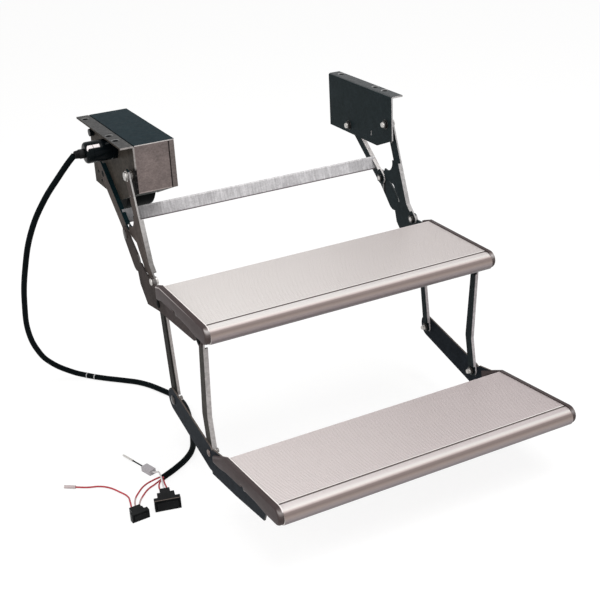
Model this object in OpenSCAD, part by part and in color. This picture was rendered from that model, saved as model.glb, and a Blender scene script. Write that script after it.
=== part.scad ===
// Caravan pull out step: two treads that swing out from under the vehicle floor on pairs of
// pressed steel arms and legs, driven by a gear motor on the left bracket.
// Millimetres. X runs to the right, the front is towards -Y and Z is up. The origin lies in the
// plane of the flange tops, in the middle of the four outer bolt holes.

/* [Treads] */
// Width of a step over its end caps
step_w = 550; // [480:1:650]
// Depth of the flat tread surface, from the rear edge to the groove
tread_d = 176; // [170:1:190]
// Thickness of the tread extrusion
tread_h = 25; // [24:0.5:28]
// Radius of the rounded nosing
nosing_r = 15; // [13:0.5:16]
// Wall of the tread extrusion
tread_wall = 2.4; // [1.8:0.1:3]
// Hollow chambers in the tread extrusion
chambers = 4; // [3:1:6]
// Pitch of the grip ribs on the tread
rib_pitch = 4; // [3:0.5:8]
// Width of the groove between two grip ribs
rib_gap = 1.2; // [0.8:0.1:2]
// Depth of the grooves between the grip ribs
rib_depth = 0.5; // [0.3:0.1:0.8]
// Distance of the upper tread's rear edge in front of the origin
upper_reach = 240; // [236:1:250]
// Drop of the upper tread's top below the flanges
upper_drop = 215; // [210:1:220]
// Distance of the lower tread's rear edge in front of the origin
lower_reach = 467; // [462:1:475]
// Drop of the lower tread's top below the flanges
lower_drop = 431; // [426:1:436]
// Upward tilt of the lower tread's nose in degrees
lower_tilt = 5.5; // [3:0.5:8]

/* [End caps] */
// Thickness of an end cap outside the tread's end
cap_t = 9; // [7:0.5:12]
// Overlap of a cap over the tread's end
cap_overlap = 0.5; // [0.5:0.5:4]
// Height of a cap's lip above the tread
cap_lip = 2; // [1.5:0.1:3]
// Height of a cap at its nose
cap_h = 32; // [31:0.5:36]
// Rounding of a cap's outer edge
cap_round = 5; // [3:0.5:6]
// Length of the upper caps behind the tread
upper_tail = 22; // [15:1:26]
// Length of the lower caps behind the tread
lower_tail = 56; // [40:1:60]

/* [Brackets] */
// Spacing of the outer flange holes, front to rear
hole_span = 167; // [160:1:180]
// Distance of the middle flange hole from the front one
hole_step = 35; // [25:1:50]
// Radius of the flange holes
hole_r = 4; // [3:0.5:5]
// Flange holes' distance outside the bracket's inner face
hole_offset = 16; // [12:0.5:18]
// Bracket beyond the front flange hole
bracket_front_margin = 48.5; // [46:0.5:60]
// Bracket behind the rear flange hole
bracket_rear_margin = 25.5; // [15:0.5:30]
// Width of a bracket's top flange
flange_w = 25; // [22:1:32]
// Depth of the right bracket
right_drop = 107; // [105:1:112]
// Depth of the left bracket and its box
left_drop = 128; // [124:1:130]
// Depth of both brackets at their front edge
front_drop = 85; // [80:1:92]
// Rise of the chamfer towards the front edge
chamfer_slope = 0.4; // [0.35:0.01:0.6]

/* [Sheet and fits] */
// Thickness of the pressed steel
sheet_t = 3; // [2.5:0.1:3.5]
// Thickness of the box's sheet
box_t = 1.5; // [1:0.1:2.5]
// Gap between plates that slide past each other
slide_gap = 0.3; // [0.2:0.1:0.6]
// Radial clearance of a pivot
pivot_fit = 0.05; // [0.02:0.01:0.1]
// Clearance of a cap around the tread
cap_fit = 0.2; // [0.1:0.1:0.4]
// Length of the spacer bushes on the brackets
bush_l = 5.4; // [5:0.1:8]
// Radius of the pivot bolts
bolt_r = 5; // [4:0.5:5.5]
// Radius of the bolt heads, over the corners
head_r = 8.5; // [7.5:0.5:9]
// Height of the bolt heads and nuts
head_h = 4.5; // [3:0.5:5]

/* [Arms and legs] */
// Half width of the front arms
front_arm_r = 12; // [11:0.5:13]
// Half width of the rear arms
rear_arm_r = 12.5; // [11.5:0.5:13]
// Length of the rear arms beyond their upper pivots
rear_tail = 14; // [8:1:15]
// Half width of the rear legs
rear_leg_r = 10.5; // [10:0.5:12]
// Half width of the front legs
front_leg_r = 11; // [10.5:0.5:12]
// Half width of the legs at their upper pivots
leg_top_r = 9; // [8.5:0.5:10]
// Half width of the upper plates around the rear arms' pivots
prong_r = 15; // [14:0.5:16]
// Half width of the lower plates around the rear legs' pivots
lower_prong_r = 22; // [20:0.5:23]
// Rest gap between a front arm's stop and the rear arm
stop_gap = 1.5; // [1:0.1:3]
// Width of the flat bar across the rear arms
cross_w = 25; // [20:1:26]
// Thickness of the flat bar
cross_t = 5; // [4:0.5:6]
// Lean of the flat bar's face from upright, in degrees
cross_lean = 18; // [12:1:24]

/* [Drive] */
// Width of the gear box beside the left bracket
box_w = 71; // [68:1:80]
// Width of the folded edges on the box
fold_w = 9; // [6:0.5:12]
// Radius of the motor's can
motor_r = 19; // [17:0.5:21]
// Length of the motor's can
motor_l = 56; // [50:1:65]
// Rounding of the motor's rim
motor_round = 5; // [3:0.5:7]
// Radius of the output shaft
shaft_r = 6; // [5:0.5:6]
// Radius of the gear case around the output shaft
case_r = 71; // [66:1:72]
// Length of the gear case inside the box
case_l = 54; // [44:1:54]
// Radius of the cable gland
gland_r = 9; // [8:0.5:10]
// Length of the cable gland
gland_l = 18; // [14:1:24]

/* [Cable] */
// Radius of the cable
cable_r = 5.5; // [5:0.5:6]
// Radius of the single wires
wire_r = 1.5; // [1.2:0.1:1.8]
// Drop of the surface that the loose cable lies on
ground_drop = 545; // [540:1:560]

/* [Hidden] */
$fn = 64;

// Overshoot of the bodies that cut holes
cut = 1;

// Layers across the step, as distances from its middle plane
tread_end = step_w / 2 - cap_t;
plate_out = tread_end + sheet_t;
arm_out = tread_end - slide_gap;
arm_in = arm_out - sheet_t;
bracket_out = arm_in - bush_l - slide_gap;
bracket_in = bracket_out - sheet_t;
lip_in = bracket_out + slide_gap;
hole_x = bracket_in + hole_offset;

// Pivots as [y, z]
front_top = [-110, -57];
rear_top = [31, -91];
front_low = [-188, -226];
rear_low = [-74, -175];
front_leg_top = [-upper_reach - 150, -upper_drop - 37];
rear_leg_top = [27 - upper_reach, -upper_drop - 43];
front_leg_low = [79 - lower_reach, -lower_drop - 32];
front_leg_bend = front_leg_low + [11, 66];
rear_leg_low = [231 - lower_reach, -lower_drop - 5];
motor_axis = [-33, -27];

// Brackets
bracket_front = -hole_span / 2 - bracket_front_margin;
bracket_rear = hole_span / 2 + bracket_rear_margin;
bend_r = 4;
slot_at = [-56, -87];
slot_l = 7;
slot_r = 1.6;
spare_holes = [[83, -101], [69, -115], [32, -118]];
spare_r = 2.5;
case_bolt_at = [87, -27];
case_bolt_r = 4;
case_flange_t = 10;
case_neck_r = 28;
case_ear_r = 10;
case_wall = 3;
case_out = bracket_in - case_flange_t;
case_in = case_out - case_l;
boss_l = 5;
boss_wall = 7;
knob_r = 7;
knob_h = 8.5;
chamfer_l = 88;
gland_nut = 10;
gland_step = 1.5;
bush_wall = 3;
stud_l = 4;

// Tread section, measured from its rear top edge
groove_w = 1.6;
groove_d = 1.2;
shoulder_d = 1;
nosing_set = 7;
nosing_at = [-tread_d - nosing_set, -shoulder_d - nosing_r];
cap_nose_at = [nosing_at[0] + 2, cap_lip - cap_h / 2];
cap_side_h = 26;
cap_flare_at = nosing_at[0] + 33;
screw_at = [-61, -27];
screw_notch_r = 7;
screw_head_r = 4;
screw_head_h = 2.2;
screw_r = 2;
rivet_r = 4;
rivet_head_r = 7;
rivet_head_h = 2;

// Front arm: its knee, its spare hole, the fold's start and the stop lobe behind the knee
arm_knee = [-165, -205];
arm_foot_r = front_arm_r - 2;
arm_hole_at = [-117, -92];
arm_fold_from = 78;
lobe_edge = [[-140, -128], [-100, -128], [-88, -157], [-88, -168], [-104, -173], [-121, -176], [-127, -184],
    [-152, -217]];
lobe_fillet_at = [-98, -133];
lobe_fillet_r = 20;

// Flat bar across the rear arms, carried beside the arms' middle line
cross_along = 101;
cross_aside = 6;

// Loose cable: round points that it passes through, then its single wires
ground = -ground_drop;
cable_route = [[-331, -33, -27], [-341, -30, -38], [-358, -20, -62], [-389, 0, -111], [-413, 24, -170],
    [-428, 52, -246], [-434, 84, -333], [-430, 107, -406], [-414, 121, -456], [-398, 128, -483],
    [-352, 135, -526], [-324, 126, ground + cable_r], [-297, 98, ground + cable_r],
    [-268, 69, ground + cable_r], [-240, 38, ground + cable_r], [-214, -15, ground + cable_r],
    [-199, -66, ground + cable_r], [-200, -100, ground + cable_r], [-214, -158, ground + cable_r],
    [-232, -213, ground + cable_r], [-247, -246, ground + cable_r], [-265, -267, ground + cable_r],
    [-295, -288, ground + cable_r], [-328, -305, ground + cable_r]];
sheath_end = cable_route[len(cable_route) - 1];
cable_steps = 2;
white_route = [[-342, -354, ground + 13], [-338, -335, ground + 15], [-333, -312, ground + 17],
    [-331, -296, ground + 14], [-334, -285, ground + 8], [-336, -277, ground + 5]];
red_route = [[-407, -370, ground + 9], [-402, -348, ground + 9], [-399, -328, ground + 6],
    [-405, -303, ground + 3], [-417, -280, ground + 3], [-430, -268, ground + 3], [-448, -260, ground + 3],
    [-466, -248, ground + 3]];
small_route_a = [sheath_end + [-1, 2, 2], [-345, -308, ground + 9], [-362, -313, ground + 8],
    [-380, -329, ground + 8], [-394, -350, ground + 9], [-400, -370, ground + 8]];
small_route_b = [sheath_end + [-1, 2, -3], [-345, -313, ground + 3], [-359, -320, ground + 3],
    [-374, -335, ground + 4], [-386, -352, ground + 6], [-394, -370, ground + 8]];
main_route_a = [sheath_end + [1, -3, 3], [-337, -319, ground + 9], [-345, -335, ground + 10],
    [-347, -354, ground + 11]];
main_route_b = [sheath_end + [1, -3, -2], [-330, -320, ground + 5], [-333, -337, ground + 8],
    [-337, -356, ground + 10]];
plug_size = [24, 13, 10];
plug_at = [-339, -267];
plug_turn = 108;
lead_r = 1.3;
lead_l = 32;
pin_r = 1.9;
pin_l = 28;
terminal_r = 3;
terminal_l = 20;
terminal_turn = 145;

// Switches lie on their sides, faces forward; each step backwards is [width, rear end, height]
main_switch_at = [-351, -392];
main_switch_turn = -13;
main_steps = [[44, 10, 21], [29, 26, 18], [17, 40, 15]];
small_switch_at = [-400, -395];
small_switch_turn = 4;
small_steps = [[31, 9, 15.5], [21, 18, 13], [19, 26, 11]];
switch_rim = 3;
pocket_d = 8;
rocker_gap = 0.4;
rocker_axle = 3;
rocker_rise = 3;
rocker_dip = 0.8;
rocker_foot = 5;
axle_r = 1.2;
axle_l = 1.5;

// Plane shapes are drawn as [y, z] and given a thickness along X
module slab(x0, t) {
    translate([x0, 0, 0])
        rotate([90, 0, 90])
            linear_extrude(t)
                children();
}

module left_side() {
    mirror([1, 0, 0])
        children();
}

module both_sides() {
    children();
    left_side()
        children();
}

module dot(p, r) {
    translate(p)
        circle(r);
}

// A round bar along X between two distances from the middle plane
module rod(p, x0, x1, r) {
    translate([x0, p[0], p[1]])
        rotate([0, 90, 0])
            cylinder(h = x1 - x0, r = r);
}

module hex_rod(p, x0, x1, r) {
    translate([x0, p[0], p[1]])
        rotate([0, 90, 0])
            cylinder(h = x1 - x0, r = r, $fn = 6);
}

function unit(a) = [cos(a), sin(a)];
function heading(p, q) = atan2(q[1] - p[1], q[0] - p[0]);
function spread(p, q, r, s) = acos((r - s) / norm(q - p));
function turned(p, a) = [p[0] * cos(a) - p[1] * sin(a), p[0] * sin(a) + p[1] * cos(a)];

// A bar with round ends of two radii
module link(p, q, r, s) {
    a = heading(p, q);
    b = spread(p, q, r, s);
    union() {
        polygon([p + r * unit(a + b), q + s * unit(a + b), q + s * unit(a - b), p + r * unit(a - b)]);
        dot(p, r);
        dot(q, s);
    }
}

// The folded edge along the front of such a bar, cut short by two distances
module front_strip(p, q, r, s, from, to) {
    u = unit(heading(p, q) - spread(p, q, r, s));
    first = p + r * u;
    last = q + s * u;
    d = unit(heading(first, last));
    polygon([first + from * d, last - to * d, last - to * d - sheet_t * u, first + from * d - sheet_t * u]);
}

// Brackets and drive
module bracket_outline(drop) {
    chamfer_at = bracket_front + (drop - front_drop) / chamfer_slope;
    polygon([[bracket_rear, 0], [bracket_rear, -drop], [chamfer_at, -drop], [bracket_front, -front_drop],
        [bracket_front, 0]]);
}

module bracket(drop) {
    difference() {
        union() {
            slab(bracket_in, sheet_t)
                bracket_outline(drop);
            translate([bracket_in, bracket_front, -sheet_t])
                cube([flange_w, bracket_rear - bracket_front, sheet_t]);
        }
        translate([bracket_in, bracket_rear + cut, -bend_r])
            rotate([90, 0, 0])
                linear_extrude(bracket_rear - bracket_front + 2 * cut)
                    difference() {
                        translate([-cut, 0])
                            square([bend_r + cut, bend_r + cut]);
                        translate([bend_r, 0])
                            circle(bend_r);
                    }
        for (y = [hole_span / 2, -hole_span / 2, hole_step - hole_span / 2])
            translate([hole_x, y, -sheet_t - cut])
                cylinder(h = sheet_t + 2 * cut, r = hole_r);
        rod(front_top, bracket_in - cut, bracket_out + cut, bolt_r + pivot_fit);
    }
}

module bracket_right() {
    color("dimgray")
        difference() {
            bracket(right_drop);
            rod(rear_top, bracket_in - cut, bracket_out + cut, bolt_r + pivot_fit);
            slab(bracket_in - cut, sheet_t + 2 * cut)
                link(slot_at - [0, slot_l / 2], slot_at + [0, slot_l / 2], slot_r, slot_r);
        }
}

module bracket_left() {
    color("dimgray")
        left_side()
            difference() {
                bracket(left_drop);
                rod(rear_top, bracket_in - cut, bracket_out + cut, shaft_r + 4 * pivot_fit);
                rod(case_bolt_at, bracket_in - cut, bracket_out + cut, case_bolt_r + pivot_fit);
                for (p = spare_holes)
                    rod(p, bracket_in - cut, bracket_out + cut, spare_r);
            }
}

// Sheet cover: inner wall, front face with a folded edge, and a lip along the chamfer
module box_cover() {
    wall_in = bracket_in - box_w;
    lip_back = [chamfer_l, -chamfer_l * chamfer_slope];
    corner = [bracket_front, -front_drop];
    color("rosybrown")
        left_side()
            difference() {
                union() {
                    slab(wall_in, box_t)
                        bracket_outline(left_drop);
                    translate([wall_in, bracket_front, -front_drop])
                        cube([box_w, box_t, front_drop - box_t]);
                    translate([wall_in, bracket_front - box_t, -front_drop])
                        cube([fold_w, box_t, front_drop - box_t]);
                    slab(wall_in, box_w)
                        polygon([corner, corner + lip_back, corner + lip_back + [0, box_t],
                            corner + [0, box_t]]);
                }
                translate([wall_in - cut, bracket_front - 2 * box_t, -box_t])
                    cube([box_w + 2 * cut, bracket_rear - bracket_front + 4 * box_t, box_t + cut]);
            }
}

module box_lid() {
    lid_w = bracket_in - slide_gap - (bracket_in - box_w - box_t);
    color("darkslategray")
        left_side()
            translate([bracket_in - box_w - box_t, bracket_front, -box_t])
                cube([lid_w, bracket_rear - bracket_front, box_t]);
}

// Closed gear case: a drum round the output shaft with a shoulder for the motor and an ear to bolt it
module gear_housing() {
    motor_half = motor_r + case_wall;
    ear_side = (case_ear_r - 1) * unit(heading(rear_top, case_bolt_at) + 90);
    color("slategray")
        left_side()
            difference() {
                union() {
                    rod(rear_top, case_in, case_out, case_r);
                    slab(case_in, case_l)
                        polygon([motor_axis + [-motor_half, motor_half], [rear_top[0], motor_axis[1] + motor_half],
                            rear_top, motor_axis - [motor_half, 2 * motor_half]]);
                    rod(rear_top, case_out - cut, bracket_in, case_neck_r);
                    slab(case_out - cut, case_flange_t + cut)
                        polygon([rear_top + ear_side, case_bolt_at + ear_side, case_bolt_at - ear_side,
                            rear_top - ear_side]);
                    rod(case_bolt_at, case_out - cut, bracket_in, case_ear_r);
                    rod(rear_top, case_in - boss_l, case_in, shaft_r + boss_wall);
                }
                rod(rear_top, case_in - boss_l - cut, bracket_in + cut, shaft_r + pivot_fit);
                rod(case_bolt_at, case_out - 2 * cut, bracket_in + cut, case_bolt_r + pivot_fit);
            }
}

module gearbox_bolts() {
    color("black")
        left_side() {
            rod(case_bolt_at, bracket_in - case_flange_t - stud_l, bracket_out, case_bolt_r);
            rod(case_bolt_at, bracket_out, bracket_out + knob_h, knob_r);
        }
}

module motor() {
    color("black")
        left_side()
            translate([bracket_out, motor_axis[0], motor_axis[1]])
                rotate([0, 90, 0])
                    rotate_extrude()
                        union() {
                            square([motor_r, motor_l - motor_round]);
                            square([motor_r - motor_round, motor_l]);
                            translate([motor_r - motor_round, motor_l - motor_round])
                                intersection() {
                                    circle(motor_round);
                                    square(motor_round);
                                }
                        }
}

module cable_gland() {
    motor_end = bracket_out + motor_l;
    color("black")
        left_side() {
            hex_rod(motor_axis, motor_end, motor_end + gland_nut, gland_r);
            rod(motor_axis, motor_end + gland_nut, motor_end + gland_l, gland_r - gland_step);
        }
}

// Fasteners
module front_pivot_bolts() {
    color("silver")
        both_sides() {
            rod(front_top, bracket_in - head_h - stud_l, arm_out + slide_gap, bolt_r);
            hex_rod(front_top, arm_out + slide_gap, arm_out + slide_gap + head_h, head_r);
            hex_rod(front_top, bracket_in - head_h, bracket_in, head_r);
        }
}

module rear_pivot_bolt() {
    color("silver") {
        rod(rear_top, bracket_in - head_h - stud_l, arm_out + slide_gap, bolt_r);
        hex_rod(rear_top, arm_out + slide_gap, arm_out + slide_gap + head_h, head_r);
        hex_rod(rear_top, bracket_in - head_h, bracket_in, head_r);
    }
}

module bush(p, r) {
    difference() {
        rod(p, bracket_out, bracket_out + bush_l, r + bush_wall);
        rod(p, bracket_out - cut, bracket_out + bush_l + cut, r + pivot_fit);
    }
}

module pivot_bushes() {
    color("silver") {
        both_sides()
            bush(front_top, bolt_r);
        bush(rear_top, bolt_r);
        left_side()
            bush(rear_top, shaft_r);
    }
}

// Front arm: a web with a stop lobe at the rear and a folded front edge
module front_arm() {
    difference() {
        union() {
            slab(arm_in, sheet_t)
                difference() {
                    union() {
                        link(front_top, arm_knee, front_arm_r, front_arm_r);
                        link(arm_knee, front_low, front_arm_r, arm_foot_r);
                        difference() {
                            polygon(concat(lobe_edge, [front_low, arm_knee]));
                            dot(lobe_fillet_at, lobe_fillet_r);
                        }
                    }
                    dot(rear_low, rear_arm_r + stop_gap);
                }
            slab(lip_in, arm_out - lip_in) {
                front_strip(front_top, arm_knee, front_arm_r, front_arm_r, arm_fold_from, 0);
                front_strip(arm_knee, front_low, front_arm_r, arm_foot_r, 0, arm_foot_r + 2);
            }
        }
        rod(front_top, lip_in - cut, arm_out + cut, bolt_r + pivot_fit);
        rod(front_low, lip_in - cut, arm_out + cut, bolt_r + pivot_fit);
        rod(arm_hole_at, lip_in - cut, arm_out + cut, spare_r);
    }
}

module front_arm_left() {
    color("gray")
        left_side()
            front_arm();
}

module front_arm_right() {
    color("gray")
        front_arm();
}

// Rear arm: a straight web with a folded front edge, notched for the flat bar
module rear_arm(bore_r) {
    tail = rear_top - rear_tail * unit(heading(rear_top, rear_low));
    difference() {
        union() {
            slab(arm_in, sheet_t)
                link(tail, rear_low, rear_arm_r, rear_arm_r);
            slab(lip_in, arm_out - lip_in)
                front_strip(tail, rear_low, rear_arm_r, rear_arm_r, 0, rear_arm_r);
        }
        rod(rear_top, lip_in - cut, arm_out + cut, bore_r);
        rod(rear_low, lip_in - cut, arm_out + cut, bolt_r + pivot_fit);
        flat_bar(slide_gap);
    }
}

module rear_arm_left() {
    color("gray")
        left_side()
            rear_arm(shaft_r);
}

module rear_arm_right() {
    color("gray")
        rear_arm(bolt_r + pivot_fit);
}

module flat_bar(grow) {
    a = heading(rear_top, rear_low);
    at = rear_top + cross_along * unit(a) + cross_aside * unit(a - 90);
    translate([-arm_in, at[0], at[1]])
        rotate([-cross_lean, 0, 0])
            translate([0, -cross_t / 2 - grow, -cross_w / 2 - grow])
                cube([2 * arm_in, cross_t + 2 * grow, cross_w + 2 * grow]);
}

module cross_bar() {
    color("lightgray")
        flat_bar(0);
}

module output_shaft() {
    color("silver")
        left_side()
            rod(rear_top, case_in - boss_l, arm_out, shaft_r);
}

module inner_nut(p) {
    hex_rod(p, arm_in - head_h, arm_in, head_r);
    rod(p, arm_in, arm_out, bolt_r);
}

module rear_arm_nuts() {
    color("silver")
        both_sides()
            inner_nut(rear_low);
}

module outer_head(p) {
    hex_rod(p, plate_out, plate_out + head_h, head_r);
    rod(p, tread_end, plate_out, bolt_r);
}

// A bolt held by the plate that an arm or leg turns on
module plate_bolt(p) {
    hex_rod(p, plate_out, plate_out + head_h, head_r);
    rod(p, arm_in - slide_gap, plate_out, bolt_r);
    hex_rod(p, arm_in - slide_gap - head_h, arm_in - slide_gap, head_r);
}

// Treads
module tread_outline(grow) {
    union() {
        translate([-tread_d, -tread_h - grow])
            square([tread_d + grow, tread_h + 2 * grow]);
        translate([nosing_at[0], -tread_h - grow])
            square([-tread_d - nosing_at[0], tread_h - shoulder_d + 2 * grow]);
        dot(nosing_at, nosing_r + grow);
    }
}

module tread_section() {
    chamber_w = (tread_d - tread_wall * (chambers + 1)) / chambers;
    difference() {
        tread_outline(0);
        for (i = [0 : chambers - 1])
            translate([-(i + 1) * (chamber_w + tread_wall), -tread_h + tread_wall])
                square([chamber_w, tread_h - 2 * tread_wall - rib_depth]);
        difference() {
            dot(nosing_at, nosing_r - tread_wall);
            translate([-tread_d - tread_wall, -2 * tread_h])
                square(3 * tread_h);
        }
        for (y = [rib_pitch : rib_pitch : tread_d - rib_pitch])
            translate([-y - rib_gap / 2, -rib_depth])
                square([rib_gap, rib_depth + cut]);
        translate([-tread_d - groove_w, -shoulder_d - groove_d])
            square([groove_w, 2 * tread_h]);
    }
}

module at_upper() {
    translate([0, -upper_reach, -upper_drop])
        children();
}

module at_lower() {
    translate([0, -lower_reach, -lower_drop])
        rotate([-lower_tilt, 0, 0])
            children();
}

module tread() {
    slab(-tread_end, 2 * tread_end)
        tread_section();
}

module upper_tread() {
    color("lightgray")
        at_upper()
            tread();
}

module lower_tread() {
    color("lightgray")
        at_lower()
            tread();
}

// Cap seen from its side, with a long tail behind the tread
module cap_outline(tail) {
    tail_fall = 0.35 * tail;
    difference() {
        union() {
            dot(cap_nose_at, cap_h / 2);
            polygon([[0, cap_lip], [cap_nose_at[0], cap_lip], [cap_nose_at[0], cap_lip - cap_h],
                [cap_flare_at, cap_lip - cap_h], [cap_flare_at + 40, -cap_side_h], [0, -cap_side_h]]);
            polygon([[0, cap_lip], [tail, cap_lip - tail_fall], [tail, cap_lip - cap_h], [tail / 2, cap_lip - cap_h],
                [0, -cap_side_h]]);
        }
        dot(screw_at, screw_notch_r);
    }
}

// Part of a cap that wraps the tread's end, kept clear of the legs
module cap_rim_outline() {
    intersection() {
        cap_body_outline();
        union() {
            translate([2 * nosing_at[0], -tread_h])
                square([-2 * nosing_at[0], 2 * tread_h]);
            translate([2 * nosing_at[0], -2 * tread_h])
                square([-nosing_at[0] + 14, 2 * tread_h]);
        }
    }
}

module cap_body_outline() {
    dot(cap_nose_at, cap_h / 2);
    translate([cap_nose_at[0], cap_lip - cap_h])
        square([-cap_nose_at[0], cap_h]);
}

// Soft edged bar and disc that round the outer edge of a cap
module cap_pillow(tail) {
    half = cap_h / 2;
    depth = cap_t + cap_overlap;
    translate([tread_end - cap_overlap, cap_nose_at[0], cap_nose_at[1]]) {
        rotate([0, 90, 0])
            rotate_extrude()
                union() {
                    square([half - cap_round, depth]);
                    square([half, depth - cap_round]);
                    intersection() {
                        translate([half - cap_round, depth - cap_round])
                            circle(cap_round);
                        square([half, depth]);
                    }
                }
        translate([0, tail - cap_nose_at[0], 0])
            rotate([90, 0, 0])
                linear_extrude(tail - cap_nose_at[0])
                    union() {
                        translate([0, -half + cap_round])
                            square([depth, cap_h - 2 * cap_round]);
                        translate([0, -half])
                            square([depth - cap_round, cap_h]);
                        for (side = [-1, 1])
                            translate([depth - cap_round, side * (half - cap_round)])
                                circle(cap_round);
                    }
    }
}

module cap(tail) {
    difference() {
        intersection() {
            union() {
                slab(tread_end - cap_overlap, cap_overlap + sheet_t)
                    cap_rim_outline();
                slab(plate_out, cap_t - sheet_t)
                    cap_outline(tail);
            }
            cap_pillow(tail);
        }
        slab(tread_end - cap_overlap - cut, cap_overlap + cut)
            tread_outline(cap_fit);
    }
}

module upper_cap() {
    difference() {
        at_upper()
            cap(upper_tail);
        slab(tread_end, sheet_t)
            upper_plate_outline();
        rod(front_leg_top, tread_end, plate_out + rivet_head_h + slide_gap, rivet_head_r + 1);
        rod(front_low, tread_end, plate_out + head_h + slide_gap, head_r + slide_gap);
    }
}

module lower_cap() {
    difference() {
        at_lower()
            cap(lower_tail);
        slab(tread_end, sheet_t)
            lower_plate_outline();
        rod(front_leg_low, tread_end, plate_out + head_h + slide_gap, head_r + slide_gap);
    }
}

module upper_cap_left() {
    color("darkslategray")
        left_side()
            upper_cap();
}

module upper_cap_right() {
    color("darkslategray")
        upper_cap();
}

module lower_cap_left() {
    color("darkslategray")
        left_side()
            lower_cap();
}

module lower_cap_right() {
    color("darkslategray")
        lower_cap();
}

module cap_screw() {
    rod(screw_at, plate_out, plate_out + screw_head_h, screw_head_r);
    rod(screw_at, tread_end, plate_out, screw_r);
}

module upper_cap_screws() {
    color("silver")
        both_sides()
            at_upper()
                cap_screw();
}

module lower_cap_screws() {
    color("silver")
        both_sides()
            at_lower()
                cap_screw();
}

// Side plates
module upper_plate_outline() {
    tread_top = [-upper_reach, -upper_drop];
    neck = rear_low + [-41, -36];
    neck_r = 20;
    rear_edge = [neck, rear_low + [-52, -77], rear_low + [-81, -106]];
    lower_edge = [rear_leg_top + [2, -14], front_leg_top + [21, -10]];
    nose = [front_leg_top, front_leg_top + [-24, 2], tread_top + [-170, -7]];
    saddle = [front_low, front_low + [28, 7], front_low + [46, 18]];
    union() {
        link(rear_low, neck, prong_r, neck_r);
        dot(front_low, arm_foot_r);
        dot(front_leg_top, front_leg_r);
        polygon(concat(rear_edge, lower_edge, nose, saddle));
    }
}

module upper_plate() {
    difference() {
        union() {
            slab(tread_end, sheet_t)
                upper_plate_outline();
            slab(tread_end, sheet_t)
                dot(front_low, arm_foot_r);
        }
        for (p = [rear_low, front_low])
            rod(p, tread_end - cut, plate_out + cut, bolt_r + pivot_fit);
        for (p = [front_leg_top, rear_leg_top])
            rod(p, tread_end - cut, plate_out + cut, rivet_r + pivot_fit);
        at_upper()
            rod(screw_at, tread_end - cut, plate_out + cut, screw_r + pivot_fit);
    }
}

module upper_plate_left() {
    color("gray")
        left_side()
            upper_plate();
}

module upper_plate_right() {
    color("gray")
        upper_plate();
}

module lower_plate_outline() {
    tread_top = [-lower_reach, -lower_drop];
    belly = front_leg_low + [0, -8];
    belly_r = 24.5;
    under_tread = [[-20, -59], [-125, -52], [-134, -36], [-160, -33], [-165, -7], [10, -6]];
    union() {
        link(rear_leg_low, belly, lower_prong_r, belly_r);
        polygon(concat([belly, belly + [-8, -29]], [for (p = under_tread) tread_top + turned(p, -lower_tilt)],
            [belly + [-18, 24]]));
    }
}

module lower_plate() {
    difference() {
        union() {
            slab(tread_end, sheet_t)
                lower_plate_outline();
            slab(tread_end, sheet_t)
                dot(front_leg_low, prong_r);
        }
        for (p = [rear_leg_low, front_leg_low])
            rod(p, tread_end - cut, plate_out + cut, bolt_r + pivot_fit);
        at_lower()
            rod(screw_at, tread_end - cut, plate_out + cut, screw_r + pivot_fit);
    }
}

module lower_plate_left() {
    color("gray")
        left_side()
            lower_plate();
}

module lower_plate_right() {
    color("gray")
        lower_plate();
}

module arm_bolts() {
    color("silver")
        both_sides()
            plate_bolt(front_low);
}

module upper_studs() {
    color("silver")
        both_sides()
            outer_head(rear_low);
}

module lower_studs() {
    color("silver")
        both_sides()
            outer_head(rear_leg_low);
}

module leg_bolts() {
    color("silver")
        both_sides()
            plate_bolt(front_leg_low);
}

module leg_rivet(p) {
    rod(p, plate_out, plate_out + rivet_head_h, rivet_head_r);
    rod(p, arm_in - slide_gap, plate_out, rivet_r);
    rod(p, arm_in - slide_gap - rivet_head_h, arm_in - slide_gap, rivet_head_r);
}

module leg_rivets() {
    color("silver")
        both_sides()
            for (p = [front_leg_top, rear_leg_top])
                leg_rivet(p);
}

// Legs
module rear_leg() {
    lip_from = leg_top_r + 4;
    difference() {
        union() {
            slab(arm_in, sheet_t)
                link(rear_leg_top, rear_leg_low, leg_top_r, rear_leg_r);
            slab(lip_in, arm_out - lip_in)
                front_strip(rear_leg_top, rear_leg_low, leg_top_r, rear_leg_r, lip_from, rear_leg_r);
        }
        rod(rear_leg_top, lip_in - cut, arm_out + cut, rivet_r + pivot_fit);
        rod(rear_leg_low, lip_in - cut, arm_out + cut, bolt_r + pivot_fit);
    }
}

module rear_leg_left() {
    color("gray")
        left_side()
            rear_leg();
}

module rear_leg_right() {
    color("gray")
        rear_leg();
}

module rear_leg_nuts() {
    color("silver")
        both_sides()
            inner_nut(rear_leg_low);
}

// Front leg: bent back above its lower pivot
module front_leg() {
    lip_from = leg_top_r + 4;
    difference() {
        union() {
            slab(arm_in, sheet_t) {
                link(front_leg_top, front_leg_bend, leg_top_r, front_leg_r);
                link(front_leg_bend, front_leg_low, front_leg_r, front_leg_r);
            }
            slab(lip_in, arm_out - lip_in) {
                front_strip(front_leg_top, front_leg_bend, leg_top_r, front_leg_r, lip_from, 0);
                front_strip(front_leg_bend, front_leg_low, front_leg_r, front_leg_r, 0, head_r + 1);
            }
        }
        rod(front_leg_top, lip_in - cut, arm_out + cut, rivet_r + pivot_fit);
        rod(front_leg_low, lip_in - cut, arm_out + cut, bolt_r + pivot_fit);
    }
}

module front_leg_left() {
    color("gray")
        left_side()
            front_leg();
}

module front_leg_right() {
    color("gray")
        front_leg();
}

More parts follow.
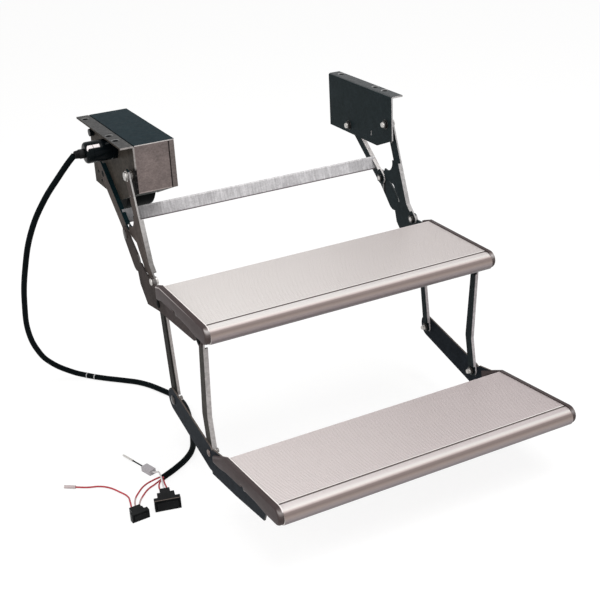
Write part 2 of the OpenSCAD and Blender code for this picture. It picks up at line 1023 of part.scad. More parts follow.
// Loose cable: a smooth curve through the route's points, swept as a tube
function curve_point(a, b, c, d, t) =
    0.5 * ((2 * b) + (c - a) * t + (2 * a - 5 * b + 4 * c - d) * t * t + (3 * b - a - 3 * c + d) * t * t * t);
function smooth(route, steps) = let (last = len(route) - 1) [
    for (i = [0 : last - 1])
        for (k = [0 : steps - 1])
            curve_point(route[max(i - 1, 0)], route[i], route[i + 1], route[min(i + 2, last)], k / steps),
    route[last]];
function direction(path, i) = let (v = path[min(i + 1, len(path) - 1)] - path[max(i - 1, 0)]) v / norm(v);
function first_side(d) = let (v = cross(d, abs(d[2]) > 0.9 ? [1, 0, 0] : [0, 0, 1])) v / norm(v);
function next_side(side, d) = let (v = side - (side * d) * d) v / norm(v);
function sides(path, i) = i == 0 ? [first_side(direction(path, 0))] : let (before = sides(path, i - 1))
    concat(before, [next_side(before[i - 1], direction(path, i))]);

module tube(path, r, n) {
    count = len(path);
    across = sides(path, count - 1);
    points = [for (i = [0 : count - 1]) let (u = across[i], w = cross(direction(path, i), u))
        for (k = [0 : n - 1]) path[i] + r * (cos(360 * k / n) * u + sin(360 * k / n) * w)];
    walls = [for (i = [0 : count - 2]) for (k = [0 : n - 1]) let (m = (k + 1) % n)
        for (face = [[i * n + k, i * n + m, (i + 1) * n + m], [i * n + k, (i + 1) * n + m, (i + 1) * n + k]])
            [face[2], face[1], face[0]]];
    ends = [[for (k = [0 : n - 1]) k], [for (k = [n - 1 : -1 : 0]) (count - 1) * n + k]];
    polyhedron(points, concat(walls, ends));
}

module cable() {
    color("black")
        tube(smooth(cable_route, cable_steps), cable_r, 10);
}

module wire(route) {
    tube(route, wire_r, 8);
}

module wire_white() {
    color("white")
        wire(white_route);
}

module wire_red() {
    color("firebrick")
        wire(red_route);
}

module wires_small() {
    color("firebrick") {
        wire(small_route_a);
        wire(small_route_b);
    }
}

module wires_main() {
    color("firebrick") {
        wire(main_route_a);
        wire(main_route_b);
    }
}

module on_ground(at, turn) {
    translate([at[0], at[1], ground])
        rotate([0, 0, turn])
            children();
}

module plug_white() {
    color("white")
        on_ground(plug_at, plug_turn)
            translate([-plug_size[0] / 2, -plug_size[1] / 2, 0])
                cube(plug_size);
}

module plug_rod(from, l, r) {
    on_ground(plug_at, plug_turn)
        translate([plug_size[0] / 2 + from, 0, plug_size[2] / 2])
            rotate([0, 90, 0])
                cylinder(h = l, r = r);
}

module plug_lead() {
    color("black")
        plug_rod(0, lead_l, lead_r);
}

module plug_pin() {
    color("silver")
        plug_rod(lead_l, pin_l, pin_r);
}

module terminal_red() {
    color("pink")
        translate(red_route[len(red_route) - 1])
            rotate([0, 0, terminal_turn])
                rotate([0, 90, 0])
                    cylinder(h = terminal_l, r = terminal_r);
}

// Switches
function pocket_w(steps) = steps[0][0] - 2 * switch_rim;
function pocket_h(steps) = steps[0][2] - 2 * switch_rim;

module switch_step(step, from, face_h) {
    translate([-step[0] / 2, from, (face_h - step[2]) / 2])
        cube([step[0], step[1] - from, step[2]]);
}

module switch_case(steps) {
    face_h = steps[0][2];
    axle_hole = pocket_h(steps) + 2 * (axle_l + slide_gap);
    difference() {
        union() {
            switch_step(steps[0], 0, face_h);
            switch_step(steps[1], steps[0][1], face_h);
            switch_step(steps[2], steps[1][1], face_h);
        }
        translate([-pocket_w(steps) / 2, -cut, switch_rim])
            cube([pocket_w(steps), pocket_d + cut, pocket_h(steps)]);
        translate([0, rocker_axle, (face_h - axle_hole) / 2])
            cylinder(h = axle_hole, r = axle_r + pivot_fit);
    }
}

// A rocker on an upright axle, dished like a shallow roof turned over
module rocker(steps) {
    w = pocket_w(steps) - 2 * rocker_gap;
    h = pocket_h(steps) - 2 * rocker_gap;
    union() {
        translate([0, 0, switch_rim + rocker_gap])
            linear_extrude(h)
                intersection() {
                    dot([0, rocker_axle], w / 2);
                    polygon([[-w / 2, -rocker_rise], [0, -rocker_dip], [w / 2, -rocker_rise], [w / 2, 1],
                        [rocker_foot, rocker_axle + 3], [-rocker_foot, rocker_axle + 3], [-w / 2, 1]]);
                }
        translate([0, rocker_axle, switch_rim - axle_l])
            cylinder(h = pocket_h(steps) + 2 * axle_l, r = axle_r);
    }
}

module switch_main() {
    color("black")
        on_ground(main_switch_at, main_switch_turn)
            switch_case(main_steps);
}

module rocker_main() {
    color("dimgray")
        on_ground(main_switch_at, main_switch_turn)
            rocker(main_steps);
}

module switch_small() {
    color("black")
        on_ground(small_switch_at, small_switch_turn)
            switch_case(small_steps);
}

module rocker_small() {
    color("dimgray")
        on_ground(small_switch_at, small_switch_turn)
            rocker(small_steps);
}

bracket_left();
bracket_right();
box_cover();
box_lid();
gear_housing();
gearbox_bolts();
motor();
cable_gland();
front_pivot_bolts();
rear_pivot_bolt();
pivot_bushes();
front_arm_left();
front_arm_right();
rear_arm_left();
rear_arm_right();
rear_arm_nuts();
output_shaft();
cross_bar();
upper_plate_left();
upper_plate_right();
arm_bolts();
upper_studs();
upper_tread();
upper_cap_left();
upper_cap_right();
upper_cap_screws();
leg_rivets();
rear_leg_left();
rear_leg_right();
rear_leg_nuts();
front_leg_left();
front_leg_right();
leg_bolts();
lower_plate_left();
lower_plate_right();
lower_studs();
lower_tread();
lower_cap_left();
lower_cap_right();
lower_cap_screws();
cable();
wire_white();
wire_red();
wires_small();
wires_main();
plug_white();
plug_lead();
plug_pin();
terminal_red();
switch_small();
switch_main();
rocker_small();
rocker_main();
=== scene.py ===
import math
import bpy
import bmesh
from mathutils import Matrix, Vector


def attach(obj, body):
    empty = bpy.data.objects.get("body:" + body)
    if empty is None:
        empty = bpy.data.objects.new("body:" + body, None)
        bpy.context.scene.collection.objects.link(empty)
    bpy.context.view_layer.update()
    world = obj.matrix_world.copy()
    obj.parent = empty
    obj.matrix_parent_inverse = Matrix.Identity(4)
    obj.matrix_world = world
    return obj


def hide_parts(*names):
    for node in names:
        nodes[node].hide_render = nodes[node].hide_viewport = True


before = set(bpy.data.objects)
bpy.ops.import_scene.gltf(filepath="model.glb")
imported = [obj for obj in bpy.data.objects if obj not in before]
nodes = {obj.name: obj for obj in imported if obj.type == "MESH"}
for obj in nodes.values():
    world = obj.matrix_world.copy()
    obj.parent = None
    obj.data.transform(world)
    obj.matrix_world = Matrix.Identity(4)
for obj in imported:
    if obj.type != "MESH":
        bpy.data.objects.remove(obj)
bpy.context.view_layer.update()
scene = bpy.context.scene
scene.view_settings.view_transform = "Standard"

# camera fitted to the photograph's edges
cameraSet = {
    "place": (-0.8297, -1.8882, 0.5462), "ahead": (0.4034, 0.8127, -0.4204), "roll": -3.04,
    "lens": 67.4, "sensor": 36, "farthest": 50,
}


def addObject(name, data):
    piece = bpy.data.objects.new(name, data)
    scene.collection.objects.link(piece)
    return piece


def makeCamera(s):
    data = bpy.data.cameras.new("camera")
    data.lens = s["lens"]
    data.sensor_width = s["sensor"]
    data.clip_end = s["farthest"]
    ahead = Vector(s["ahead"]).normalized()
    right = ahead.cross(Vector((0, 0, 1))).normalized()
    up = right.cross(ahead)
    c, t = math.cos(math.radians(s["roll"])), math.sin(math.radians(s["roll"]))
    right, up = right * c + up * t, up * c - right * t
    turn = Matrix((right, up, -ahead)).transposed().to_4x4()
    scene.camera = addObject("camera", data)
    scene.camera.matrix_world = Matrix.Translation(s["place"]) @ turn


makeCamera(cameraSet)
print("camera ready")

finishes = {}


def newMaterial(name, rough, metal=0.0, shine=0.5):
    mat = bpy.data.materials.new(name)
    mat.use_nodes = True
    finishes[name] = mat
    shader = mat.node_tree.nodes["Principled BSDF"]
    shader.inputs["Roughness"].default_value = rough
    shader.inputs["Metallic"].default_value = metal
    shader.inputs["Specular IOR Level"].default_value = shine
    return mat.node_tree, shader


# a link, a colour or a plain number into a socket
def feed(tree, value, socket):
    if isinstance(value, bpy.types.NodeSocket):
        tree.links.new(value, socket)
    elif isinstance(value, tuple):
        socket.default_value = (*value, 1)
    else:
        socket.default_value = value


def calc(tree, kind, *values):
    m = tree.nodes.new("ShaderNodeMath")
    m.operation = kind
    for value, socket in zip(values, m.inputs):
        feed(tree, value, socket)
    return m.outputs["Value"]


def times(tree, a, b):
    return calc(tree, "MULTIPLY", a, b)


def texture(tree, kind):
    return tree.nodes.new("ShaderNodeTexCoord").outputs[kind]


def coords(tree, scale=(1, 1, 1), turn=(0, 0, 0)):
    mapping = tree.nodes.new("ShaderNodeMapping")
    mapping.inputs["Scale"].default_value = scale
    mapping.inputs["Rotation"].default_value = turn
    tree.links.new(texture(tree, "Object"), mapping.inputs["Vector"])
    return mapping.outputs["Vector"]


def axisOf(tree, vector, axis):
    split = tree.nodes.new("ShaderNodeSeparateXYZ")
    tree.links.new(vector, split.inputs["Vector"])
    return split.outputs[axis]


def mapRange(tree, value, fromLow, fromHigh, toLow, toHigh):
    m = tree.nodes.new("ShaderNodeMapRange")
    m.inputs["From Min"].default_value = fromLow
    m.inputs["From Max"].default_value = fromHigh
    m.inputs["To Min"].default_value = toLow
    m.inputs["To Max"].default_value = toHigh
    tree.links.new(value, m.inputs["Value"])
    return m.outputs["Result"]


def levels(tree, value, low, high):
    return mapRange(tree, value, 0, 1, low, high)


# from 0 to 1 between two values, which may fall
def between(tree, value, low, high):
    return mapRange(tree, value, low, high, 0, 1)


# the same for how far a face looks along one of the object's own axes, and for a place along it
def facing(tree, axis, low, high):
    return between(tree, axisOf(tree, texture(tree, "Normal"), axis), low, high)


def placed(tree, axis, low, high):
    return between(tree, axisOf(tree, texture(tree, "Object"), axis), low, high)


# distance from the middle plane
def across(tree):
    return calc(tree, "ABSOLUTE", axisOf(tree, texture(tree, "Object"), "X"))


# 1 between two values along an axis of a vector, with soft edges outside them
def band(tree, vector, axis, low, high, soft=0.0004):
    value = axisOf(tree, vector, axis)
    return times(tree, between(tree, value, low - soft, low), between(tree, value, high + soft, high))


# 1 within a radius of a point, seen along the axis whose scale is zero, with a soft edge
def spot(tree, scale, centre, radius, soft=0.0008):
    far = tree.nodes.new("ShaderNodeVectorMath")
    far.operation = "DISTANCE"
    tree.links.new(coords(tree, scale), far.inputs[0])
    far.inputs[1].default_value = centre
    return between(tree, far.outputs["Value"], radius + soft, radius)


def noise(tree, vector, scale, detail, rough=0.55):
    n = tree.nodes.new("ShaderNodeTexNoise")
    n.inputs["Scale"].default_value = scale
    n.inputs["Detail"].default_value = detail
    n.inputs["Roughness"].default_value = rough
    tree.links.new(vector, n.inputs["Vector"])
    return n.outputs["Fac"]


def ramp(tree, value, stops):
    r = tree.nodes.new("ShaderNodeValToRGB")
    while len(r.color_ramp.elements) < len(stops):
        r.color_ramp.elements.new(0.5)
    for e, (at, colour) in zip(r.color_ramp.elements, stops):
        e.position = at
        e.color = (*colour, 1)
    tree.links.new(value, r.inputs["Fac"])
    return r.outputs["Color"]


def blendColours(tree, share, a, b, kind="MIX"):
    m = tree.nodes.new("ShaderNodeMix")
    m.data_type = "RGBA"
    m.blend_type = kind
    for value, socket in ((share, m.inputs[0]), (a, m.inputs[6]), (b, m.inputs[7])):
        feed(tree, value, socket)
    return m.outputs[2]


def bump(tree, shader, value, strength, depth):
    b = tree.nodes.new("ShaderNodeBump")
    b.inputs["Strength"].default_value = strength
    b.inputs["Distance"].default_value = depth
    tree.links.new(value, b.inputs["Height"])
    tree.links.new(b.outputs["Normal"], shader.inputs["Normal"])


# pivots and screws of one side, as (y, z)
sidePlaces = {
    "frontArm": (-0.110, -0.057), "rearArm": (0.031, -0.091),
    "frontArmEnd": (-0.188, -0.226), "rearArmEnd": (-0.074, -0.175),
    "frontLeg": (-0.390, -0.252), "rearLeg": (-0.213, -0.258),
    "frontLegEnd": (-0.388, -0.463), "rearLegEnd": (-0.236, -0.436),
    "upperScrew": (-0.301, -0.242), "lowerScrew": (-0.5303, -0.452),
}

# marks on the brackets: flange holes painted dark as shade with a pale rim that is a painted highlight, the shade
# behind the left front arm's head and two dark dots near the left bracket's rear corner
fromAbove, fromSide = (1, 1, 0), (0, 1, 1)
holeShadeAndHighlightSet = {
    "x": 0.270, "y": (0.0835, -0.0485, -0.0835), "radius": 0.0052, "soft": 0.0006, "tone": (0.004, 0.005, 0.006),
    "rim": 0.0066, "rimSoft": 0.0008, "rimShift": (0.001, 0.003),
}
shadeSet = {
    "at": [(-0.1275, -0.047), (-0.1285, -0.058), (-0.1295, -0.07), (-0.1305, -0.083)],
    "radius": 0.0055, "soft": 0.004, "tone": (0.008, 0.008, 0.008),
}
dotSet = {"at": [(0.0856, -0.1029), (0.071, -0.1175)], "radius": 0.0028, "soft": 0.0012, "tone": (0.006, 0.006, 0.006)}


def holeMarks(s, side, rimHighlight):
    x, (dx, dy) = side * s["x"], s["rimShift"]
    rims = [(fromAbove, (x + dx, y + dy, 0), s["rim"], s["rimSoft"], rimHighlight) for y in s["y"]]
    return rims + [(fromAbove, (x, y, 0), s["radius"], s["soft"], s["tone"]) for y in s["y"]]


def sideMarks(s):
    return [(fromSide, (0, y, z), s["radius"], s["soft"], s["tone"]) for y, z in s["at"]]


# pressed sheets: strips are (axis, low, high, soft edge, tone), lip is where the painted front highlight ends across
# the step
sheetLook = {
    "rough": 0.42, "roughSpan": (-0.1, 0.14), "shine": 0.012, "cell": 230, "spread": 0.14, "stainFrom": 0.36,
    "stainFull": 0.66, "streaks": (60, 60, 900), "contrast": 0.14, "wear": (20, 20, 240), "strips": (), "marks": (),
}
# tones by the way a face looks: painted light and shade on tops and undersides, the right parts' own tone on their
# outer faces, and a painted highlight on faces turned to the front that is darker low down
sheetSideShading = {"top": ("Z", 0.6, 0.75), "under": ("Z", -0.6, -0.75), "outside": ("X", 0.5, 0.7)}
frontHighlightTurn, lowerHighlightReach = ("Y", -0.64, -0.7), ("Z", -0.14, -0.21)
# the right parts' faces are painted shade, darker than the same steel on the left; their outer faces keep a tone like
# the left parts'
rightShadeLook = {"face": (0.015, 0.023, 0.026), "stain": (0.011, 0.018, 0.02), "shine": 0.03}
sheetSet = {
    "left_steel": {
        "face": (0.084, 0.068, 0.061), "stain": (0.056, 0.046, 0.041), "top": (0.008, 0.022, 0.027),
        "front": (0.4, 0.388, 0.384), "frontLow": (0.18, 0.172, 0.168), "on": ["front_arm_left", "rear_arm_left"],
    },
    "left_plate": {
        "face": (0.048, 0.038, 0.035), "stain": (0.03, 0.024, 0.022), "top": (0.06, 0.052, 0.05),
        "front": (0.2, 0.19, 0.185), "strips": [("Y", -0.45, -0.26, 0.03, (0.058, 0.046, 0.045))],
        "on": ["upper_plate_left"],
    },
    "front_leg": {
        "face": (0.062, 0.058, 0.053), "stain": (0.042, 0.04, 0.037), "top": (0.02, 0.02, 0.02),
        "front": (0.5, 0.48, 0.475), "on": ["front_leg_left"],
    },
    "rear_leg": {
        "face": (0.03, 0.029, 0.027), "stain": (0.02, 0.02, 0.018), "top": (0.02, 0.02, 0.02),
        "front": (0.5, 0.47, 0.46), "lip": (0.2628, 0.2616), "on": ["rear_leg_left"],
    },
    "left_bracket": {
        "face": (0.056, 0.048, 0.04), "stain": (0.036, 0.031, 0.026), "top": (0.076, 0.076, 0.076),
        "front": (0.3, 0.28, 0.27), "spread": 0.2, "on": ["bracket_left"],
        "marks": holeMarks(holeShadeAndHighlightSet, -1, (0.17, 0.17, 0.17)) + sideMarks(shadeSet) + sideMarks(dotSet),
    },
    "right_steel": {
        **rightShadeLook, "top": (0.075, 0.08, 0.083), "outside": (0.07, 0.058, 0.052), "front": (0.42, 0.41, 0.41),
        "marks": holeMarks(holeShadeAndHighlightSet, 1, (0.3, 0.3, 0.3)),
        "on": ["bracket_right", "front_arm_right", "upper_plate_right"],
    },
    "right_leg": {
        **rightShadeLook, "top": (0.02, 0.02, 0.02), "outside": (0.05, 0.046, 0.042), "front": (0.5, 0.47, 0.48),
        "lip": (0.2594, 0.2606), "on": ["rear_leg_right", "front_leg_right"],
    },
    # the right rear arm's top and front tones are a painted highlight along its lip
    "right_arm": {
        **rightShadeLook, "top": (0.72, 0.69, 0.68), "outside": (0.07, 0.058, 0.052), "front": (0.72, 0.69, 0.68),
        "on": ["rear_arm_right"],
    },
    "low_plate": {
        "face": (0.017, 0.022, 0.028), "stain": (0.012, 0.0155, 0.02), "top": (0.14, 0.12, 0.11),
        "front": (0.1, 0.1, 0.1), "on": ["lower_plate_left", "lower_plate_right"],
    },
    "box_zinc": {
        "face": (0.206, 0.168, 0.16), "stain": (0.148, 0.123, 0.118), "under": (0.05, 0.054, 0.05), "cell": 420,
        # a painted highlight along the fold low on the front, and a dark line with a darker band beside it down the
        # front
        "strips": [
            ("Z", -0.0856, -0.0836, 0.0004, (0.34, 0.29, 0.28)),
            ("X", -0.1912, -0.1824, 0.0004, (0.15, 0.128, 0.122)),
            ("X", -0.1932, -0.1918, 0.0004, (0.03, 0.026, 0.025)),
        ],
        "on": ["box_cover"],
    },
    "bar_zinc": {
        "face": (0.64, 0.63, 0.645), "stain": (0.5, 0.49, 0.505), "top": (0.55, 0.55, 0.56), "shine": 0.3,
        "cell": 420, "spread": 0.1, "streaks": (330, 25, 25), "contrast": 0.42,
        # a painted highlight along the top edge, darker towards the left end, and painted shade along the bottom edge
        "strips": [
            ("Z", -0.1388, -0.13, 0.0006, (0.76, 0.75, 0.76)),
            ("X", -0.27, -0.235, 0.02, (0.3, 0.3, 0.31)),
            ("Z", -0.17, -0.1588, 0.0006, (0.15, 0.128, 0.138)),
        ],
        "on": ["cross_bar"],
    },
    "lid_paint": {
        "face": (0.01, 0.0215, 0.027), "stain": (0.007, 0.016, 0.0205), "front": (0.6, 0.57, 0.56),
        "cell": 500, "spread": 0.1, "on": ["box_lid"],
    },
}


# zinc-coated steel: crystal patches, cloudy stains and fine streaks, with painted light and shade by the way a face
# looks, and tones in strips and in round marks, some of them painted highlights and shade
def zincSheet(name, s):
    tree, shader = newMaterial(name, s["rough"], shine=s["shine"])
    v = coords(tree)
    cells = tree.nodes.new("ShaderNodeTexVoronoi")
    cells.inputs["Scale"].default_value = s["cell"]
    tree.links.new(v, cells.inputs["Vector"])
    patch = tree.nodes.new("ShaderNodeSeparateColor")
    tree.links.new(cells.outputs["Color"], patch.inputs["Color"])
    clouds = noise(tree, v, scale=34, detail=8, rough=0.65)
    cloudy = ramp(tree, clouds, [(s["stainFrom"], (0, 0, 0)), (s["stainFull"], (1, 1, 1))])
    colour = blendColours(tree, cloudy, s["face"], s["stain"])
    # painted light and shade on faces turned up or down, and the right parts' own tone on their outer faces
    for side, reach in sheetSideShading.items():
        if side in s:
            colour = blendColours(tree, facing(tree, *reach), colour, s[side])
    # a painted highlight on faces turned to the front, only across the lip where that is given and darker low down
    # where that is given
    if "front" in s:
        ahead, front = facing(tree, *frontHighlightTurn), s["front"]
        if "lip" in s:
            ahead = times(tree, ahead, between(tree, across(tree), *s["lip"]))
        if "frontLow" in s:
            front = blendColours(tree, placed(tree, *lowerHighlightReach), front, s["frontLow"])
        colour = blendColours(tree, ahead, colour, front)
    for *reach, tone in s["strips"]:
        colour = blendColours(tree, band(tree, v, *reach), colour, tone)
    for *reach, tone in s["marks"]:
        colour = blendColours(tree, spot(tree, *reach), colour, tone)
    grey = levels(tree, patch.outputs["Red"], 1 - s["spread"], 1 + s["spread"])
    streak = noise(tree, coords(tree, s["streaks"]), scale=1, detail=3)
    streak = levels(tree, streak, 1 - s["contrast"], 1 + s["contrast"])
    colour = blendColours(tree, 1.0, colour, times(tree, grey, streak), "MULTIPLY")
    tree.links.new(colour, shader.inputs["Base Color"])
    wear = noise(tree, coords(tree, s["wear"]), scale=6, detail=3)
    rough = levels(tree, wear, *(s["rough"] + d for d in s["roughSpan"]))
    tree.links.new(rough, shader.inputs["Roughness"])
    bump(tree, shader, clouds, strength=0.12, depth=0.0005)


# treads: the nosing's painted highlight and shade run from the underside to the top, and the tones at the left and
# right end make a painted falloff of light along the tread
treadLook = {
    "light": (0.735, 0.706, 0.69), "dark": (0.6, 0.57, 0.55), "edgeHighlightGain": 1.12, "roughRange": (0.36, 0.46),
    "dieLines": (0.6, 900, 900), "lineShare": 0.16, "grainShare": 0.1, "noseGrain": 0.2,
    "halfWidth": 0.265, "endHighlightReach": (-0.2632, -0.2642), "noseTurn": (-0.2, -0.4), "noseReach": 0.1,
    "edge": (0.0002, 0.0016), "groove": (-0.0026, -0.0002), "grooveShade": (0.12, 0.105, 0.1), "grooveShadeShare": 0.8,
    "nosing": [
        (0.1, (0.12, 0.1, 0.105)), (0.3, (0.19, 0.16, 0.165)), (0.42, (0.31, 0.265, 0.27)),
        (0.57, (0.335, 0.275, 0.258)), (0.64, (0.29, 0.232, 0.21)), (0.72, (0.215, 0.168, 0.155)),
        (0.82, (0.235, 0.187, 0.177)), (0.875, (0.5, 0.42, 0.405)), (0.92, (0.65, 0.605, 0.58)),
        (0.985, (0.68, 0.66, 0.645)),
    ],
}
treadSet = {
    "upper_tread_metal": {
        "grooveAt": -0.416, "tilt": 0.0, "lightFalloff": ((0.99, 0.985, 0.985), (0.77, 0.74, 0.745)), "on": ["upper_tread"],
    },
    "lower_tread_metal": {
        "grooveAt": -0.59954, "tilt": 5.5, "lightFalloff": ((0.95, 0.91, 0.92), (0.69, 0.635, 0.65)), "on": ["lower_tread"],
    },
}


# drawn and anodised aluminium: fine die lines along the tread, a groove painted dark as shade with a painted highlight
# on its edge, a painted highlight at the left end and the nosing's painted bands of highlight and shade, over a painted
# falloff of light from end to end
def drawnAluminium(name, s):
    tree, shader = newMaterial(name, rough=0.4, metal=0.1, shine=0.4)
    light, dark, grooveAt = s["light"], s["dark"], s["grooveAt"]
    lines = noise(tree, coords(tree, s["dieLines"]), scale=1, detail=2, rough=0.5)
    grain = noise(tree, coords(tree), scale=420, detail=3)
    colour = blendColours(tree, levels(tree, lines, 0, s["lineShare"]), light, dark)
    colour = blendColours(tree, levels(tree, grain, 0, s["grainShare"]), colour, dark)
    lightFalloff = ramp(tree, placed(tree, "X", -s["halfWidth"], s["halfWidth"]), list(enumerate(s["lightFalloff"])))
    colour = blendColours(tree, 1.0, colour, lightFalloff, "MULTIPLY")
    level = coords(tree, turn=(math.radians(s["tilt"]), 0, 0))
    highlightTone = tuple(s["edgeHighlightGain"] * c for c in light)
    colour = blendColours(tree, band(tree, level, "Y", *(grooveAt + e for e in s["edge"])), colour, highlightTone)
    colour = blendColours(tree, placed(tree, "X", *s["endHighlightReach"]), colour, highlightTone)
    shade = ramp(tree, facing(tree, "Z", -1.0, 1.0), s["nosing"])
    shade = blendColours(tree, levels(tree, grain, 0, s["noseGrain"]), shade, dark, "MULTIPLY")
    nose = band(tree, level, "Y", grooveAt - s["noseReach"], grooveAt)
    colour = blendColours(tree, times(tree, facing(tree, "Y", *s["noseTurn"]), nose), colour, shade)
    groove = band(tree, level, "Y", *(grooveAt + e for e in s["groove"]))
    colour = blendColours(tree, times(tree, groove, s["grooveShadeShare"]), colour, s["grooveShade"])
    tree.links.new(colour, shader.inputs["Base Color"])
    tree.links.new(levels(tree, lines, *s["roughRange"]), shader.inputs["Roughness"])
    bump(tree, shader, lines, strength=0.04, depth=0.0002)


# plastics and paints: a painted highlight strip's turn and along are low, high and soft edge
plasticLook = {
    "grain": 900, "depth": 0.00015, "shine": 0.5, "darkTo": 0.3, "paleFrom": 0.75, "roughSpan": (-0.07, 0.08),
}
blackLook = {"dark": (0.006, 0.0065, 0.007), "pale": (0.013, 0.0135, 0.014), "rough": 0.4, "shine": 0.06}
redLook = {"dark": (0.36, 0.02, 0.03), "pale": (0.5, 0.05, 0.07), "rough": 0.35, "shine": 0.3}
plasticSet = {
    "black_plastic": {**blackLook, "on": ["cable_gland", "switch_small", "rocker_small", "rocker_main"]},
    "switch_plastic": {
        **blackLook, "on": ["switch_main"],
        # a painted highlight line along the bezel's upper edge
        "line": {
            "at": (-0.351, -0.392, 0), "turn": -13, "reach": (-0.001, 0.0014), "upturn": (0.7, 0.8),
            "tone": (0.15, 0.122, 0.105),
        },
    },
    "motor_paint": {
        "dark": (0.002, 0.0035, 0.0045), "pale": (0.004, 0.006, 0.007), "rough": 0.2, "shine": 0.05,
        # a painted highlight along the upper front of the can
        "highlightStrip": {
            "turn": (-0.79, -0.6, 0.04), "upturn": (0.3, 0.4), "along": (-0.311, -0.2885, 0.0015),
            "tone": (0.86, 0.8, 0.8),
        },
        "on": ["motor", "gearbox_bolts"],
    },
    # the output shaft has this dark finish too, as painted shade for a hole at the rear arm's head
    "case_metal": {
        "dark": (0.002, 0.003, 0.003), "pale": (0.006, 0.008, 0.008), "rough": 0.55, "shine": 0.012,
        "grain": 400, "depth": 0.0004, "on": ["gear_housing", "output_shaft", "leg_rivets"],
    },
    "rubber": {
        "dark": (0.002, 0.0036, 0.0042), "pale": (0.004, 0.0065, 0.0075), "rough": 0.45, "shine": 0.02,
        "grain": 1400, "on": ["cable", "plug_lead"],
    },
    "pale_tape": {"dark": (0.42, 0.42, 0.43), "pale": (0.55, 0.55, 0.56), "rough": 0.5, "on": []},
    "red_wire": {**redLook, "on": ["wire_red", "wires_main"]},
    "small_wire": {**redLook, "ends": {"reach": (-0.34, -0.348), "tone": (0.5, 0.37, 0.36)}, "on": ["wires_small"]},
    "white_wire": {"dark": (0.6, 0.59, 0.59), "pale": (0.75, 0.74, 0.74), "rough": 0.4, "on": ["wire_white"]},
    "plug_nylon": {
        "dark": (0.4, 0.38, 0.4), "pale": (0.52, 0.5, 0.52), "rough": 0.4, "shine": 0.3, "on": ["plug_white"],
    },
    "clear_sleeve": {"dark": (0.45, 0.37, 0.37), "pale": (0.6, 0.53, 0.53), "rough": 0.3, "on": ["terminal_red"]},
}


# plastic or paint with a fine grain; a painted highlight strip, a thin painted highlight line or ends of another tone
# where they are given
def grainedPlastic(name, s):
    tree, shader = newMaterial(name, s["rough"], shine=s["shine"])
    v = coords(tree)
    soft = noise(tree, v, scale=22, detail=3)
    tone = ramp(tree, soft, [(s["darkTo"], s["dark"]), (s["paleFrom"], s["pale"])])
    if "highlightStrip" in s:
        highlightStrip = s["highlightStrip"]
        strip = band(tree, texture(tree, "Normal"), "Y", *highlightStrip["turn"])
        strip = times(tree, strip, facing(tree, "Z", *highlightStrip["upturn"]))
        strip = times(tree, strip, band(tree, v, "X", *highlightStrip["along"]))
        tone = blendColours(tree, strip, tone, highlightStrip["tone"])
    if "line" in s:
        line = s["line"]
        own = tree.nodes.new("ShaderNodeMapping")
        own.vector_type = "TEXTURE"
        own.inputs["Location"].default_value = line["at"]
        own.inputs["Rotation"].default_value = (0, 0, math.radians(line["turn"]))
        tree.links.new(texture(tree, "Object"), own.inputs["Vector"])
        strip = band(tree, own.outputs["Vector"], "Y", *line["reach"])
        strip = times(tree, strip, facing(tree, "Z", *line["upturn"]))
        tone = blendColours(tree, strip, tone, line["tone"])
    if "ends" in s:
        tone = blendColours(tree, placed(tree, "Y", *s["ends"]["reach"]), tone, s["ends"]["tone"])
    tree.links.new(tone, shader.inputs["Base Color"])
    rough = levels(tree, soft, *(s["rough"] + d for d in s["roughSpan"]))
    tree.links.new(rough, shader.inputs["Roughness"])
    bump(tree, shader, noise(tree, v, s["grain"], detail=3), strength=0.2, depth=s["depth"])


# end caps: the painted highlight and shade round the nose run from the underside to the top
mouldingSet = {
    "cap_plastic": {
        "face": (0.072, 0.055, 0.055), "patchGain": 0.68, "patchShare": 0.7, "roughRange": (0.28, 0.44),
        # a painted highlight line on the upper caps' outer edge, and a painted highlight along the seam by the tread
        "ridgeHighlight": (0.5, 0.46, 0.45), "ridgeTurn": [(0.1, 0.22), (0.5, 0.36)], "ridgeReach": (-0.4, -0.25),
        "seam": (0.9, 0.84, 0.83), "seamReach": (-0.2669, -0.26, 0.0005), "seamTurn": (0.6, 0.7),
        "noseTurn": (-0.25, -0.5), "lowerNose": 0.5, "lowerReach": (-0.4, -0.3),
        # painted highlight and shade round the nose
        "nose": [
            (0.2, (0.085, 0.068, 0.066)), (0.5, (0.075, 0.058, 0.055)), (0.66, (0.11, 0.092, 0.09)),
            (0.75, (0.3, 0.27, 0.265)), (0.83, (0.46, 0.43, 0.425)), (0.92, (0.17, 0.14, 0.135)),
            (1.0, (0.07, 0.056, 0.055)),
        ],
        "on": ["upper_cap_left", "upper_cap_right", "lower_cap_left", "lower_cap_right"],
    },
}


